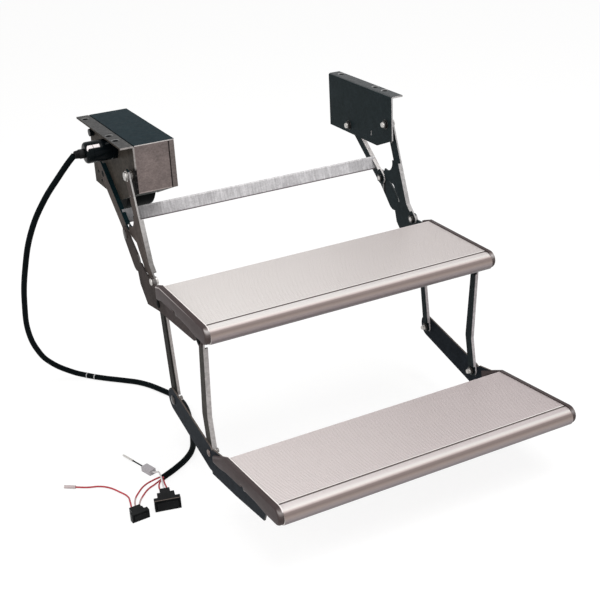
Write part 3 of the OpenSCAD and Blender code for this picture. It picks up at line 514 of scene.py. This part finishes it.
# soft sheen, a painted highlight and shade round the nose that are weaker on the lower caps, a painted highlight line
# along the rear of the upper caps' outer edge and a painted highlight along the seam at the left end of a tread
def capMoulding(name, s):
    tree, shader = newMaterial(name, rough=0.36, shine=0.04)
    v = coords(tree)
    soft = noise(tree, v, scale=60, detail=5, rough=0.65)
    patches = tuple(s["patchGain"] * c for c in s["face"])
    colour = blendColours(tree, levels(tree, soft, 0, s["patchShare"]), s["face"], patches)
    shade = ramp(tree, facing(tree, "Z", -1.0, 1.0), s["nose"])
    strength = levels(tree, placed(tree, "Z", *s["lowerReach"]), s["lowerNose"], 1.0)
    colour = blendColours(tree, times(tree, facing(tree, "Y", *s["noseTurn"]), strength), colour, shade)
    ridgeHighlight = times(tree, *(facing(tree, "Z", *turn) for turn in s["ridgeTurn"]))
    colour = blendColours(tree, times(tree, ridgeHighlight, placed(tree, "Y", *s["ridgeReach"])), colour, s["ridgeHighlight"])
    seam = times(tree, band(tree, v, "X", *s["seamReach"]), facing(tree, "Z", *s["seamTurn"]))
    tree.links.new(blendColours(tree, seam, colour, s["seam"]), shader.inputs["Base Color"])
    tree.links.new(levels(tree, soft, *s["roughRange"]), shader.inputs["Roughness"])
    bump(tree, shader, noise(tree, v, scale=700, detail=3), strength=0.15, depth=0.00012)


# fasteners: tones run outwards over toneReach, and end is the place of a bright bolt end in a right nut that is painted
# dark as shade
boltLook = {
    "light": (0.66, 0.64, 0.62), "dark": (0.46, 0.44, 0.42), "darkTo": 0.3, "lightFrom": 0.7,
    "roughRange": (0.22, 0.42), "toneReach": (0.24, 0.28), "rightReach": (-0.1, 0.1),
    "nutShadeGain": 0.06, "endRadius": 0.0038,
}
# the pivot bolts' inner nuts are painted dark as shade, between the bright thread end and the outer head
pivotShadeTones = [(0.224, (1, 1, 1)), (0.232, (0.05, 0.05, 0.05)), (0.55, (0.05, 0.05, 0.05)), (0.6, (0.8, 0.8, 0.8))]
legTones = [(0.6, (1, 1, 1)), (0.68, (0.3, 0.24, 0.23))]
zincSet = {
    "fastener": {"on": ["pivot_bushes", "plug_pin"]},
    "pivot_zinc": {"tones": pivotShadeTones, "on": ["front_pivot_bolts", "rear_pivot_bolt"]},
    "low_bolt_zinc": {"tones": legTones, "end": sidePlaces["frontLegEnd"], "on": ["leg_bolts"]},
    "arm_bolt_zinc": {"end": sidePlaces["frontArmEnd"], "on": ["arm_bolts"]},
    "arm_nut_zinc": {"end": sidePlaces["rearArmEnd"], "on": ["rear_arm_nuts"]},
    "leg_nut_zinc": {"end": sidePlaces["rearLegEnd"], "on": ["rear_leg_nuts"]},
    "dull_fastener": {
        "light": (0.07, 0.062, 0.06), "dark": (0.04, 0.036, 0.034),
        "on": ["upper_studs", "lower_studs", "upper_cap_screws", "lower_cap_screws"],
    },
}


def brightZinc(name, s):
    tree, shader = newMaterial(name, rough=0.3, metal=0.7)
    n = noise(tree, coords(tree), scale=160, detail=4)
    colour = ramp(tree, n, [(s["darkTo"], s["dark"]), (s["lightFrom"], s["light"])])
    if "tones" in s:
        tones = ramp(tree, between(tree, across(tree), *s["toneReach"]), s["tones"])
        colour = blendColours(tree, 1.0, colour, tones, "MULTIPLY")
    if "end" in s:
        nutShade = tuple(s["nutShadeGain"] * c for c in s["dark"])
        nut = blendColours(tree, placed(tree, "X", *s["rightReach"]), colour, nutShade)
        colour = blendColours(tree, spot(tree, fromSide, (0, *s["end"]), s["endRadius"]), nut, colour)
    tree.links.new(colour, shader.inputs["Base Color"])
    tree.links.new(levels(tree, n, *s["roughRange"]), shader.inputs["Roughness"])
    bump(tree, shader, n, strength=0.1, depth=0.0001)


dressed = 0
for make, look, finishSet in ((zincSheet, sheetLook, sheetSet), (drawnAluminium, treadLook, treadSet),
                              (grainedPlastic, plasticLook, plasticSet), (capMoulding, {}, mouldingSet),
                              (brightZinc, boltLook, zincSet)):
    for name, s in finishSet.items():
        make(name, {**look, **s})
        for node in s["on"]:
            mesh = nodes[node].data
            mesh.materials.clear()
            mesh.materials.append(finishes[name])
            dressed += 1
print("finishes on", dressed, "nodes")

# loose cable and its single wires, in metres along the routes of the part's source; two points of the cable are
# a little higher, so that its curve stays above the floor
ground = -0.545
wireFacts = {
    "radius": 0.0015, "farEnd": "connector", "stiffness": "limp", "lay": "loose", "roundSteps": 4, "routeSteps": 10,
}
cordSet = {
    "cable": {
        "node": "cable", "finish": "rubber", "slot": "cable_rubber", "radius": 0.0055, "length": 1.136,
        "stiffness": "medium", "lay": "hanging",
        "with": ["switch_small", "switch_main", "rocker_small", "rocker_main"],
        "route": [
            (-0.331, -0.033, -0.027), (-0.341, -0.030, -0.038), (-0.358, -0.020, -0.062), (-0.389, 0.000, -0.111),
            (-0.413, 0.024, -0.170), (-0.428, 0.052, -0.246), (-0.434, 0.084, -0.333), (-0.430, 0.107, -0.406),
            (-0.414, 0.121, -0.456), (-0.398, 0.128, -0.483), (-0.352, 0.1345, -0.525), (-0.324, 0.126, -0.538),
            (-0.297, 0.098, -0.5395), (-0.268, 0.069, -0.5395), (-0.240, 0.038, -0.5395),
            (-0.214, -0.015, -0.5395), (-0.199, -0.066, -0.5395), (-0.200, -0.100, -0.5395),
            (-0.214, -0.158, -0.5395), (-0.232, -0.213, -0.5395), (-0.247, -0.246, -0.5395),
            (-0.265, -0.267, -0.5395), (-0.295, -0.288, -0.5395), (-0.328, -0.305, -0.5395),
        ],
    },
    "white": {
        "node": "wire_white", "finish": "white_wire", "slot": "wire_white", "length": 0.085,
        "with": ["plug_white", "plug_lead", "plug_pin"],
        "route": [
            (-0.342, -0.354, -0.532), (-0.338, -0.335, -0.530), (-0.333, -0.312, -0.528),
            (-0.331, -0.296, -0.531), (-0.334, -0.285, -0.537), (-0.336, -0.277, -0.540),
        ],
    },
    "red": {
        "node": "wire_red", "finish": "red_wire", "slot": "wire_red", "length": 0.16, "with": ["terminal_red"],
        "route": [
            (-0.407, -0.370, -0.536), (-0.402, -0.348, -0.536), (-0.399, -0.328, -0.539), (-0.405, -0.303, -0.542),
            (-0.417, -0.280, -0.542), (-0.430, -0.268, -0.542), (-0.448, -0.260, -0.542), (-0.466, -0.248, -0.542),
        ],
    },
    "small_a": {
        "node": "wires_small", "finish": "small_wire", "slot": "wire_red", "length": 0.105, "with": [],
        "farEnd": "object",
        "route": [
            (-0.329, -0.303, -0.5375), (-0.345, -0.308, -0.536), (-0.362, -0.313, -0.537),
            (-0.380, -0.329, -0.537), (-0.394, -0.350, -0.536), (-0.400, -0.370, -0.537),
        ],
    },
    "small_b": {
        "node": "wires_small", "finish": "small_wire", "slot": "wire_red", "length": 0.098, "with": [],
        "farEnd": "object",
        "route": [
            (-0.329, -0.303, -0.5425), (-0.345, -0.313, -0.542), (-0.359, -0.320, -0.542),
            (-0.374, -0.335, -0.541), (-0.386, -0.352, -0.539), (-0.394, -0.370, -0.537),
        ],
    },
    "main_a": {
        "node": "wires_main", "finish": "red_wire", "slot": "wire_red", "length": 0.055, "with": [],
        "farEnd": "object",
        "route": [
            (-0.327, -0.308, -0.5365), (-0.337, -0.319, -0.536), (-0.345, -0.335, -0.535), (-0.347, -0.354, -0.534),
        ],
    },
    "main_b": {
        "node": "wires_main", "finish": "red_wire", "slot": "wire_red", "length": 0.052, "with": [],
        "farEnd": "object",
        "route": [
            (-0.327, -0.308, -0.5415), (-0.330, -0.320, -0.540), (-0.333, -0.337, -0.537), (-0.337, -0.356, -0.535),
        ],
    },
}


def makeCord(name, s):
    curve = bpy.data.curves.new(name, "CURVE")
    curve.dimensions = "3D"
    curve.bevel_depth = s["radius"]
    curve.bevel_resolution = s["roundSteps"]
    curve.resolution_u = s["routeSteps"]
    curve.use_fill_caps = True
    spline = curve.splines.new("BEZIER")
    spline.bezier_points.add(len(s["route"]) - 1)
    for point, at in zip(spline.bezier_points, s["route"]):
        point.co = at
        point.handle_left_type = point.handle_right_type = "AUTO"
    curve.materials.append(finishes[s["finish"]])
    piece = addObject(name, curve)
    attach(piece, "root")
    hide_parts(s["node"])


for name, s in cordSet.items():
    makeCord(name + "_run", {**wireFacts, **s})
print("cords laid")


# points of an arc; angles are in degrees from the second axis towards the first
def arc(centre, radii, angles):
    turns = [math.radians(a) for a in angles]
    return [(centre[0] + radii[0] * math.sin(t), centre[1] + radii[1] * math.cos(t)) for t in turns]


# turn a profile of (x, radius) points about the X axis
def lathe(bm, profile, steps=36):
    verts = [bm.verts.new((x, 0, r)) for x, r in profile]
    edges = [bm.edges.new(pair) for pair in zip(verts, verts[1:])]
    bmesh.ops.spin(bm, geom=verts + edges, cent=(0, 0, 0), axis=(1, 0, 0), dvec=(0, 0, 0),
                   angle=2 * math.pi, steps=steps, use_merge=True)


# extrude a face and give back its new corners
def lift(bm, face, vec):
    lifted = bmesh.ops.extrude_face_region(bm, geom=[face])["geom"]
    top = [g for g in lifted if isinstance(g, bmesh.types.BMVert)]
    bmesh.ops.translate(bm, verts=top, vec=vec)
    return top


def hexBlock(bm, x0, x1, radius, soft=0.0007):
    ring = bmesh.ops.create_circle(bm, cap_ends=True, segments=6, radius=radius)["verts"]
    top = lift(bm, ring[0].link_faces[0], (0, 0, x1 - x0))
    rim = list(dict.fromkeys(e for v in ring + top for e in v.link_edges))
    out = bmesh.ops.bevel(bm, geom=rim, offset=soft, segments=2, profile=0.5, affect="EDGES", material=-1)
    verts = list(dict.fromkeys(v for v in ring + top + out["verts"] if v.is_valid))
    bmesh.ops.rotate(bm, verts=verts, cent=(0, 0, 0), matrix=Matrix.Rotation(math.radians(90), 3, "Y"))
    bmesh.ops.translate(bm, verts=verts, vec=(x0, 0, 0))


def disc(bm, x0, x1, radius, bore=0.0, soft=0.0004, steps=36):
    lathe(bm, [(x0, bore), (x0, radius - soft), (x0 + soft, radius), (x1 - soft, radius), (x1, radius - soft),
               (x1, bore)], steps)


# head with a straight wall that is wall times its height
def dome(bm, x0, x1, radius, wall=0.3):
    high = x1 - x0
    crown = arc((x0 + wall * high, 0), ((1 - wall) * high, radius), (20, 40, 60, 75, 90))
    lathe(bm, [(x0, 0), (x0, radius), (x0 + wall * high, radius)] + crown)


# threaded end: a row of shallow crests
threadSet = {"pitch": 0.00125, "depth": 0.0006, "start": 0.0004, "tip": 0.001, "steps": 24}


def thread(bm, x0, x1, radius, s=threadSet):
    points = [(x0, 0), (x0, radius - s["start"])]
    for i in range(int(round((x1 - x0) / s["pitch"]))):
        points += [(x0 + (i + 0.5) * s["pitch"], radius), (x0 + (i + 1) * s["pitch"], radius - s["depth"])]
    lathe(bm, points + [(x1, radius - s["tip"]), (x1, 0)], s["steps"])


# mirror to one side of the step, and move to a place seen from that side
def setAt(bm, side, place):
    bmesh.ops.scale(bm, verts=bm.verts, vec=(side, 1, 1))
    bmesh.ops.translate(bm, verts=bm.verts, vec=(0, *place))


# add one shape to another
def joinInto(bm, one):
    part = bpy.data.meshes.new("part")
    one.to_mesh(part)
    one.free()
    bm.from_mesh(part)
    bpy.data.meshes.remove(part)


def meshObject(name, bm, finish):
    mesh = bpy.data.meshes.new(name)
    bm.to_mesh(mesh)
    bm.free()
    mesh.materials.append(finishes[finish])
    return addObject(name, mesh)


def finishMesh(name, bm, finish, body, replaced=None, smooth=40):
    bmesh.ops.remove_doubles(bm, verts=bm.verts, dist=1e-6)
    bmesh.ops.recalc_face_normals(bm, faces=bm.faces)
    for e in bm.edges:
        e.smooth = len(e.link_faces) == 2 and e.calc_face_angle(0) < math.radians(smooth)
    for f in bm.faces:
        f.smooth = True
    piece = meshObject(name, bm, finish)
    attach(piece, body)
    if replaced:
        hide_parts(replaced)


# layers of sheet, from the middle plane outwards
bracketIn, armIn, armOut, plateIn, plateOut = 0.254, 0.2627, 0.2657, 0.266, 0.269
sheetGap = 0.0003
boltSet = {
    "shank": 0.005, "head": 0.0083, "headHigh": 0.0045, "washer": 0.0095, "washerHigh": 0.001, "pivotEnd": 0.004,
    "dome": 0.0062, "domeHigh": 0.0025, "end": 0.0042, "endLong": 0.00625,
}


def pivotBolt(bm, s=boltSet):
    disc(bm, plateIn, plateIn + s["washerHigh"], s["washer"])
    hexBlock(bm, plateIn + s["washerHigh"], plateIn + s["headHigh"], s["head"])
    disc(bm, bracketIn - s["washerHigh"], bracketIn, s["washer"])
    hexBlock(bm, bracketIn - s["headHigh"], bracketIn - s["washerHigh"], s["head"])
    thread(bm, bracketIn - s["headHigh"] - s["pivotEnd"], bracketIn - s["headHigh"], s["shank"])
    disc(bm, bracketIn, plateIn, s["shank"])


def plateBolt(bm, s=boltSet):
    nutOut = armIn - sheetGap
    dome(bm, plateOut, plateOut + s["domeHigh"], s["dome"])
    hexBlock(bm, nutOut - s["headHigh"], nutOut, s["head"])
    disc(bm, nutOut, plateOut, s["shank"])


def longBolt(bm, s=boltSet):
    plateBolt(bm)
    nutIn = armIn - sheetGap - s["headHigh"]
    thread(bm, nutIn - s["endLong"], nutIn, s["end"])


def armNut(bm, s=boltSet):
    hexBlock(bm, armIn - s["headHigh"], armIn, s["head"])
    disc(bm, armIn, armOut, s["shank"])


def longNut(bm, s=boltSet):
    armNut(bm)
    nutIn = armIn - s["headHigh"]
    thread(bm, nutIn - s["endLong"], nutIn, s["end"])


studSet = {"high": 0.003, "radius": 0.0085, "shank": 0.005}


def plateStud(bm, s=studSet):
    dome(bm, plateOut, plateOut + s["high"], s["radius"])
    disc(bm, plateIn, plateOut, s["shank"])


rivetSet = {"high": 0.002, "radius": 0.007, "soft": 0.0007, "shank": 0.004}


def legRivet(bm, s=rivetSet):
    inner = armIn - sheetGap
    dome(bm, plateOut, plateOut + s["high"], s["radius"])
    disc(bm, inner - s["high"], inner, s["radius"], soft=s["soft"])
    disc(bm, inner, plateOut, s["shank"])


# pan head with a round recess; profile rows are a distance below the crown and a share of the radius
screwSet = {
    "high": 0.0022, "radius": 0.004, "shank": 0.002, "steps": 24,
    "profile": [(0.0022, 0), (0.0022, 1), (0.0012, 1), (0.0004, 0.78), (0, 0.55), (0, 0.4), (0.0009, 0.3), (0.0009, 0)],
}


def capScrew(bm, s=screwSet):
    crown = plateOut + s["high"]
    lathe(bm, [(crown - below, share * s["radius"]) for below, share in s["profile"]], s["steps"])
    disc(bm, plateIn, plateOut, s["shank"])


bothSides = (1, -1)
fastenerSet = {
    "front_pivot_bolts": {"make": pivotBolt, "at": ["frontArm"], "body": "root", "finish": "pivot_zinc"},
    "rear_pivot_bolt": {"make": pivotBolt, "at": ["rearArm"], "body": "root", "finish": "pivot_zinc", "sides": (1,)},
    "arm_bolts": {"make": plateBolt, "at": ["frontArmEnd"], "body": "upper_step", "finish": "arm_bolt_zinc"},
    "upper_studs": {"make": plateStud, "at": ["rearArmEnd"], "body": "upper_step", "finish": "dull_fastener"},
    "rear_arm_nuts": {"make": armNut, "at": ["rearArmEnd"], "body": "rear_arms", "finish": "arm_nut_zinc"},
    "leg_rivets": {"make": legRivet, "at": ["frontLeg", "rearLeg"], "body": "upper_step", "finish": "case_metal"},
    "leg_bolts": {"make": longBolt, "at": ["frontLegEnd"], "body": "lower_step", "finish": "low_bolt_zinc"},
    "lower_studs": {"make": plateStud, "at": ["rearLegEnd"], "body": "lower_step", "finish": "dull_fastener"},
    "rear_leg_nuts": {"make": longNut, "at": ["rearLegEnd"], "body": "rear_legs", "finish": "leg_nut_zinc"},
    "upper_cap_screws": {"make": capScrew, "at": ["upperScrew"], "body": "upper_step", "finish": "dull_fastener"},
    "lower_cap_screws": {"make": capScrew, "at": ["lowerScrew"], "body": "lower_step", "finish": "dull_fastener"},
}


def makeFasteners(node, s):
    bm = bmesh.new()
    for place in s["at"]:
        for side in s.get("sides", bothSides):
            one = bmesh.new()
            s["make"](one)
            setAt(one, side, sidePlaces[place])
            joinInto(bm, one)
    finishMesh(node + "_set", bm, s["finish"], s["body"], node, smooth=35)


for node, s in fastenerSet.items():
    makeFasteners(node, s)
print("fasteners set", len(fastenerSet))

# gear motor on the left bracket: a can with two seams, and two screws in its end
motorSet = {
    "face": 0.257, "axis": (-0.033, -0.027), "radius": 0.019, "length": 0.056, "round": 0.005, "hub": 0.006,
    "edge": (0.0006, 0.0004), "steps": 56,
    "seams": [
        {"at": 0.009, "slope": 0.0005, "floor": 0.0011, "depth": 0.0008},
        {"at": 0.042, "slope": 0.0004, "floor": 0.0008, "depth": 0.0006},
    ],
    "screwOff": 0.0115, "screwSteps": 16,
    "screw": [(-0.001, 0), (-0.001, 0.0022), (-0.0004, 0.0022), (-0.0001, 0.0012), (-0.0001, 0)],
}


def makeMotor(s):
    bm = bmesh.new()
    face, r, c = s["face"], s["radius"], s["round"]
    end = face + s["length"]
    points = [(face, 0), (face, r - s["edge"][1]), (face + s["edge"][0], r)]
    for seam in s["seams"]:
        x = face + seam["at"]
        floor, low = x + seam["slope"], r - seam["depth"]
        points += [(x, r), (floor, low), (floor + seam["floor"], low), (floor + seam["floor"] + seam["slope"], r)]
    points += arc((end - c, r - c), (c, c), range(0, 91, 18))
    lathe(bm, points + [(end, s["hub"]), (end, 0)], s["steps"])
    for off in (s["screwOff"], -s["screwOff"]):
        screw = bmesh.new()
        lathe(screw, [(end + x, radius) for x, radius in s["screw"]], s["screwSteps"])
        setAt(screw, 1, (off, 0))
        joinInto(bm, screw)
    setAt(bm, -1, s["axis"])
    finishMesh("motor_can", bm, "motor_paint", "root", "motor")


# gland at the motor's end: a nut and a neck whose ribs get smaller
glandSet = {
    "from": 0.313, "nut": 0.010, "nutSoft": 0.0008, "length": 0.018, "radius": 0.0088, "neck": 0.0075, "bore": 0.0058,
    "sunk": 0.0005, "ribs": 4, "ribFrom": 0.0006, "ribStep": 0.0017, "ribTaper": 0.0002, "ribHigh": 0.0006,
    "ribAcross": (0, 0.0003, 0.0011, 0.0014), "steps": 28,
}


def makeGland(s):
    bm = bmesh.new()
    nutEnd, end = s["from"] + s["nut"], s["from"] + s["length"]
    hexBlock(bm, s["from"], nutEnd, s["radius"], s["nutSoft"])
    points = [(nutEnd - s["sunk"], 0), (nutEnd - s["sunk"], s["neck"] - s["ribHigh"])]
    for i in range(s["ribs"]):
        x, crest = nutEnd + s["ribFrom"] + s["ribStep"] * i, s["neck"] - s["ribTaper"] * i
        heights = (crest - s["ribHigh"], crest, crest, crest - s["ribHigh"])
        points += [(x + dx, r) for dx, r in zip(s["ribAcross"], heights)]
    lathe(bm, points + [(end, s["bore"]), (end, 0)], s["steps"])
    setAt(bm, -1, motorSet["axis"])
    finishMesh("gland_ribbed", bm, "black_plastic", "root", "cable_gland")


# dark bead that closes the slit between the lid and the left bracket's bend
beadSet = {"x": (-0.2558, -0.25372), "y": (-0.131, 0.1085), "z": (-0.0028, -0.0007)}


def makeBead(s):
    bm = bmesh.new()
    bmesh.ops.create_cube(bm, size=1.0)
    spans = [s["x"], s["y"], s["z"]]
    bmesh.ops.scale(bm, verts=bm.verts, vec=[high - low for low, high in spans])
    bmesh.ops.translate(bm, verts=bm.verts, vec=[(high + low) / 2 for low, high in spans])
    finishMesh("lid_bead", bm, "rubber", "root")


# two pale rings round the cable where it lies behind the step
tapeSet = {
    "at": [(-0.3235, 0.1255, -0.5381), (-0.3115, 0.1131, -0.5393)], "along": (0.694, -0.72, 0),
    "radius": 0.0059, "bore": 0.005, "length": 0.0018, "soft": 0.0002, "steps": 28,
}


def makeTape(s):
    bm = bmesh.new()
    half = s["length"] / 2
    turn = Vector((1, 0, 0)).rotation_difference(Vector(s["along"])).to_matrix()
    for at in s["at"]:
        ring = bmesh.new()
        disc(ring, -half, half, s["radius"], s["bore"], s["soft"], s["steps"])
        bmesh.ops.rotate(ring, verts=ring.verts, cent=(0, 0, 0), matrix=turn)
        bmesh.ops.translate(ring, verts=ring.verts, vec=at)
        joinInto(bm, ring)
    finishMesh("cable_rings", bm, "pale_tape", "root")


# moulded end caps: the outline seen from the side, then a wide rounding of its outer edge
capSet = {
    "inner": 0.2657, "outer": 0.275, "round": 0.0062, "roundSteps": 7, "lip": 0.002, "height": 0.032, "noseAt": -0.181,
    "flareAt": -0.150, "flare": 0.04, "side": 0.026, "tailSlope": 0.35,
    "notch": {"at": (-0.061, -0.027), "radius": 0.007, "angles": (78, 45, 15, -15, -45, -78)},
    "steps": {
        "upper": {"at": (-0.240, -0.215), "tilt": 0.0, "tail": 0.022},
        "lower": {"at": (-0.467, -0.431), "tilt": -5.5, "tail": 0.056},
    },
}


def capOutline(s, tail):
    half, low, side, r = s["height"] / 2, s["lip"] - s["height"], -s["side"], s["notch"]["radius"]
    nose = arc((s["noseAt"], s["lip"] - half), (-half, half), range(0, 181, 15))
    notch = arc(s["notch"]["at"], (-r, r), s["notch"]["angles"])
    back = [(tail, s["lip"] - s["tailSlope"] * tail), (0, s["lip"])]
    return (back + nose + [(s["flareAt"], low), (s["flareAt"] + s["flare"], side)] + notch
            + [(0, side), (tail / 2, low), (tail, low)])


def makeCap(name, s, step, side):
    bm = bmesh.new()
    flat = bm.faces.new([bm.verts.new((s["inner"], y, z)) for y, z in capOutline(s, step["tail"])])
    top = lift(bm, flat, (s["outer"] - s["inner"], 0, 0))
    rim = [e for e in bm.edges if all(v in top for v in e.verts)]
    bmesh.ops.bevel(bm, geom=rim, offset=s["round"], segments=s["roundSteps"], profile=0.5, affect="EDGES",
                    material=-1, clamp_overlap=True)
    tilt = Matrix.Rotation(math.radians(step["tilt"]), 3, "X")
    bmesh.ops.rotate(bm, verts=bm.verts, cent=(0, 0, 0), matrix=tilt)
    setAt(bm, side, step["at"])
    body = name.split("_")[0] + "_step"
    finishMesh(name + "_moulded", bm, "cap_plastic", body, name, smooth=50)


makeMotor(motorSet)
makeGland(glandSet)
makeBead(beadSet)
makeTape(tapeSet)
for step, facts in capSet["steps"].items():
    for sideName, side in (("left", -1), ("right", 1)):
        makeCap(f"{step}_cap_{sideName}", capSet, facts, side)
print("motor, gland, bead, rings and caps made")

# floor, sky and lamps
floorSet = {"level": ground - 0.0005, "reach": 12.0, "white": 0.85, "rough": 0.9, "glow": 0.86, "shadow": 0.2}
skySet = {"seen": 1.0, "light": 0.5, "tint": (1.0, 0.985, 0.97)}


# one shader for what is seen, straight or in a reflection, and another for the light that falls on things
def splitSight(tree, lit, seen, output):
    path = tree.nodes.new("ShaderNodeLightPath")
    sight = path.outputs["Is Camera Ray"]
    for kind in ("Is Glossy Ray", "Is Transmission Ray"):
        sight = calc(tree, "MAXIMUM", sight, path.outputs[kind])
    mix = tree.nodes.new("ShaderNodeMixShader")
    for value, socket in zip((sight, lit, seen), mix.inputs):
        tree.links.new(value, socket)
    tree.links.new(mix.outputs["Shader"], tree.nodes[output].inputs["Surface"])


def makeFloor(s):
    tree, shader = newMaterial("floor_white", s["rough"], shine=0.0)
    feed(tree, (s["white"],) * 3, shader.inputs["Base Color"])
    faint = tree.nodes.new("ShaderNodeBsdfDiffuse")
    feed(tree, (s["shadow"],) * 3, faint.inputs["Color"])
    glow = tree.nodes.new("ShaderNodeEmission")
    glow.inputs["Strength"].default_value = s["glow"]
    both = tree.nodes.new("ShaderNodeAddShader")
    tree.links.new(faint.outputs["BSDF"], both.inputs[0])
    tree.links.new(glow.outputs["Emission"], both.inputs[1])
    splitSight(tree, shader.outputs["BSDF"], both.outputs["Shader"], "Material Output")
    bm = bmesh.new()
    bmesh.ops.create_grid(bm, x_segments=1, y_segments=1, size=s["reach"])
    bmesh.ops.translate(bm, verts=bm.verts, vec=(0, 0, s["level"]))
    meshObject("floor", bm, "floor_white")


def makeSky(s):
    world = bpy.data.worlds.new("studio")
    scene.world = world
    world.use_nodes = True
    tree = world.node_tree
    lit = tree.nodes["Background"]
    seen = tree.nodes.new("ShaderNodeBackground")
    for back, tint, strength in ((lit, s["tint"], s["light"]), (seen, (1, 1, 1), s["seen"])):
        feed(tree, tint, back.inputs["Color"])
        back.inputs["Strength"].default_value = strength
    splitSight(tree, lit.outputs["Background"], seen.outputs["Background"], "World Output")


lampAim = Vector((0, -0.2, -0.25))
lampSet = {
    "over": {"at": (0.2, -1.3, 2.6), "size": 2.2, "watts": 56},
    "glint": {"at": (0.2, -1.5, 2.4), "size": 0.3, "watts": 7},
    "left": {"at": (-2.4, -1.0, 1.0), "size": 1.6, "watts": 16},
}


def makeLamp(name, s):
    data = bpy.data.lights.new(name, "AREA")
    data.size = s["size"]
    data.energy = s["watts"]
    lamp = addObject(name, data)
    lamp.location = s["at"]
    lamp.rotation_mode = "QUATERNION"
    lamp.rotation_quaternion = (lampAim - Vector(s["at"])).to_track_quat("-Z", "Y")


makeFloor(floorSet)
makeSky(skySet)
for name, s in lampSet.items():
    makeLamp(name, s)
print("stage lit")
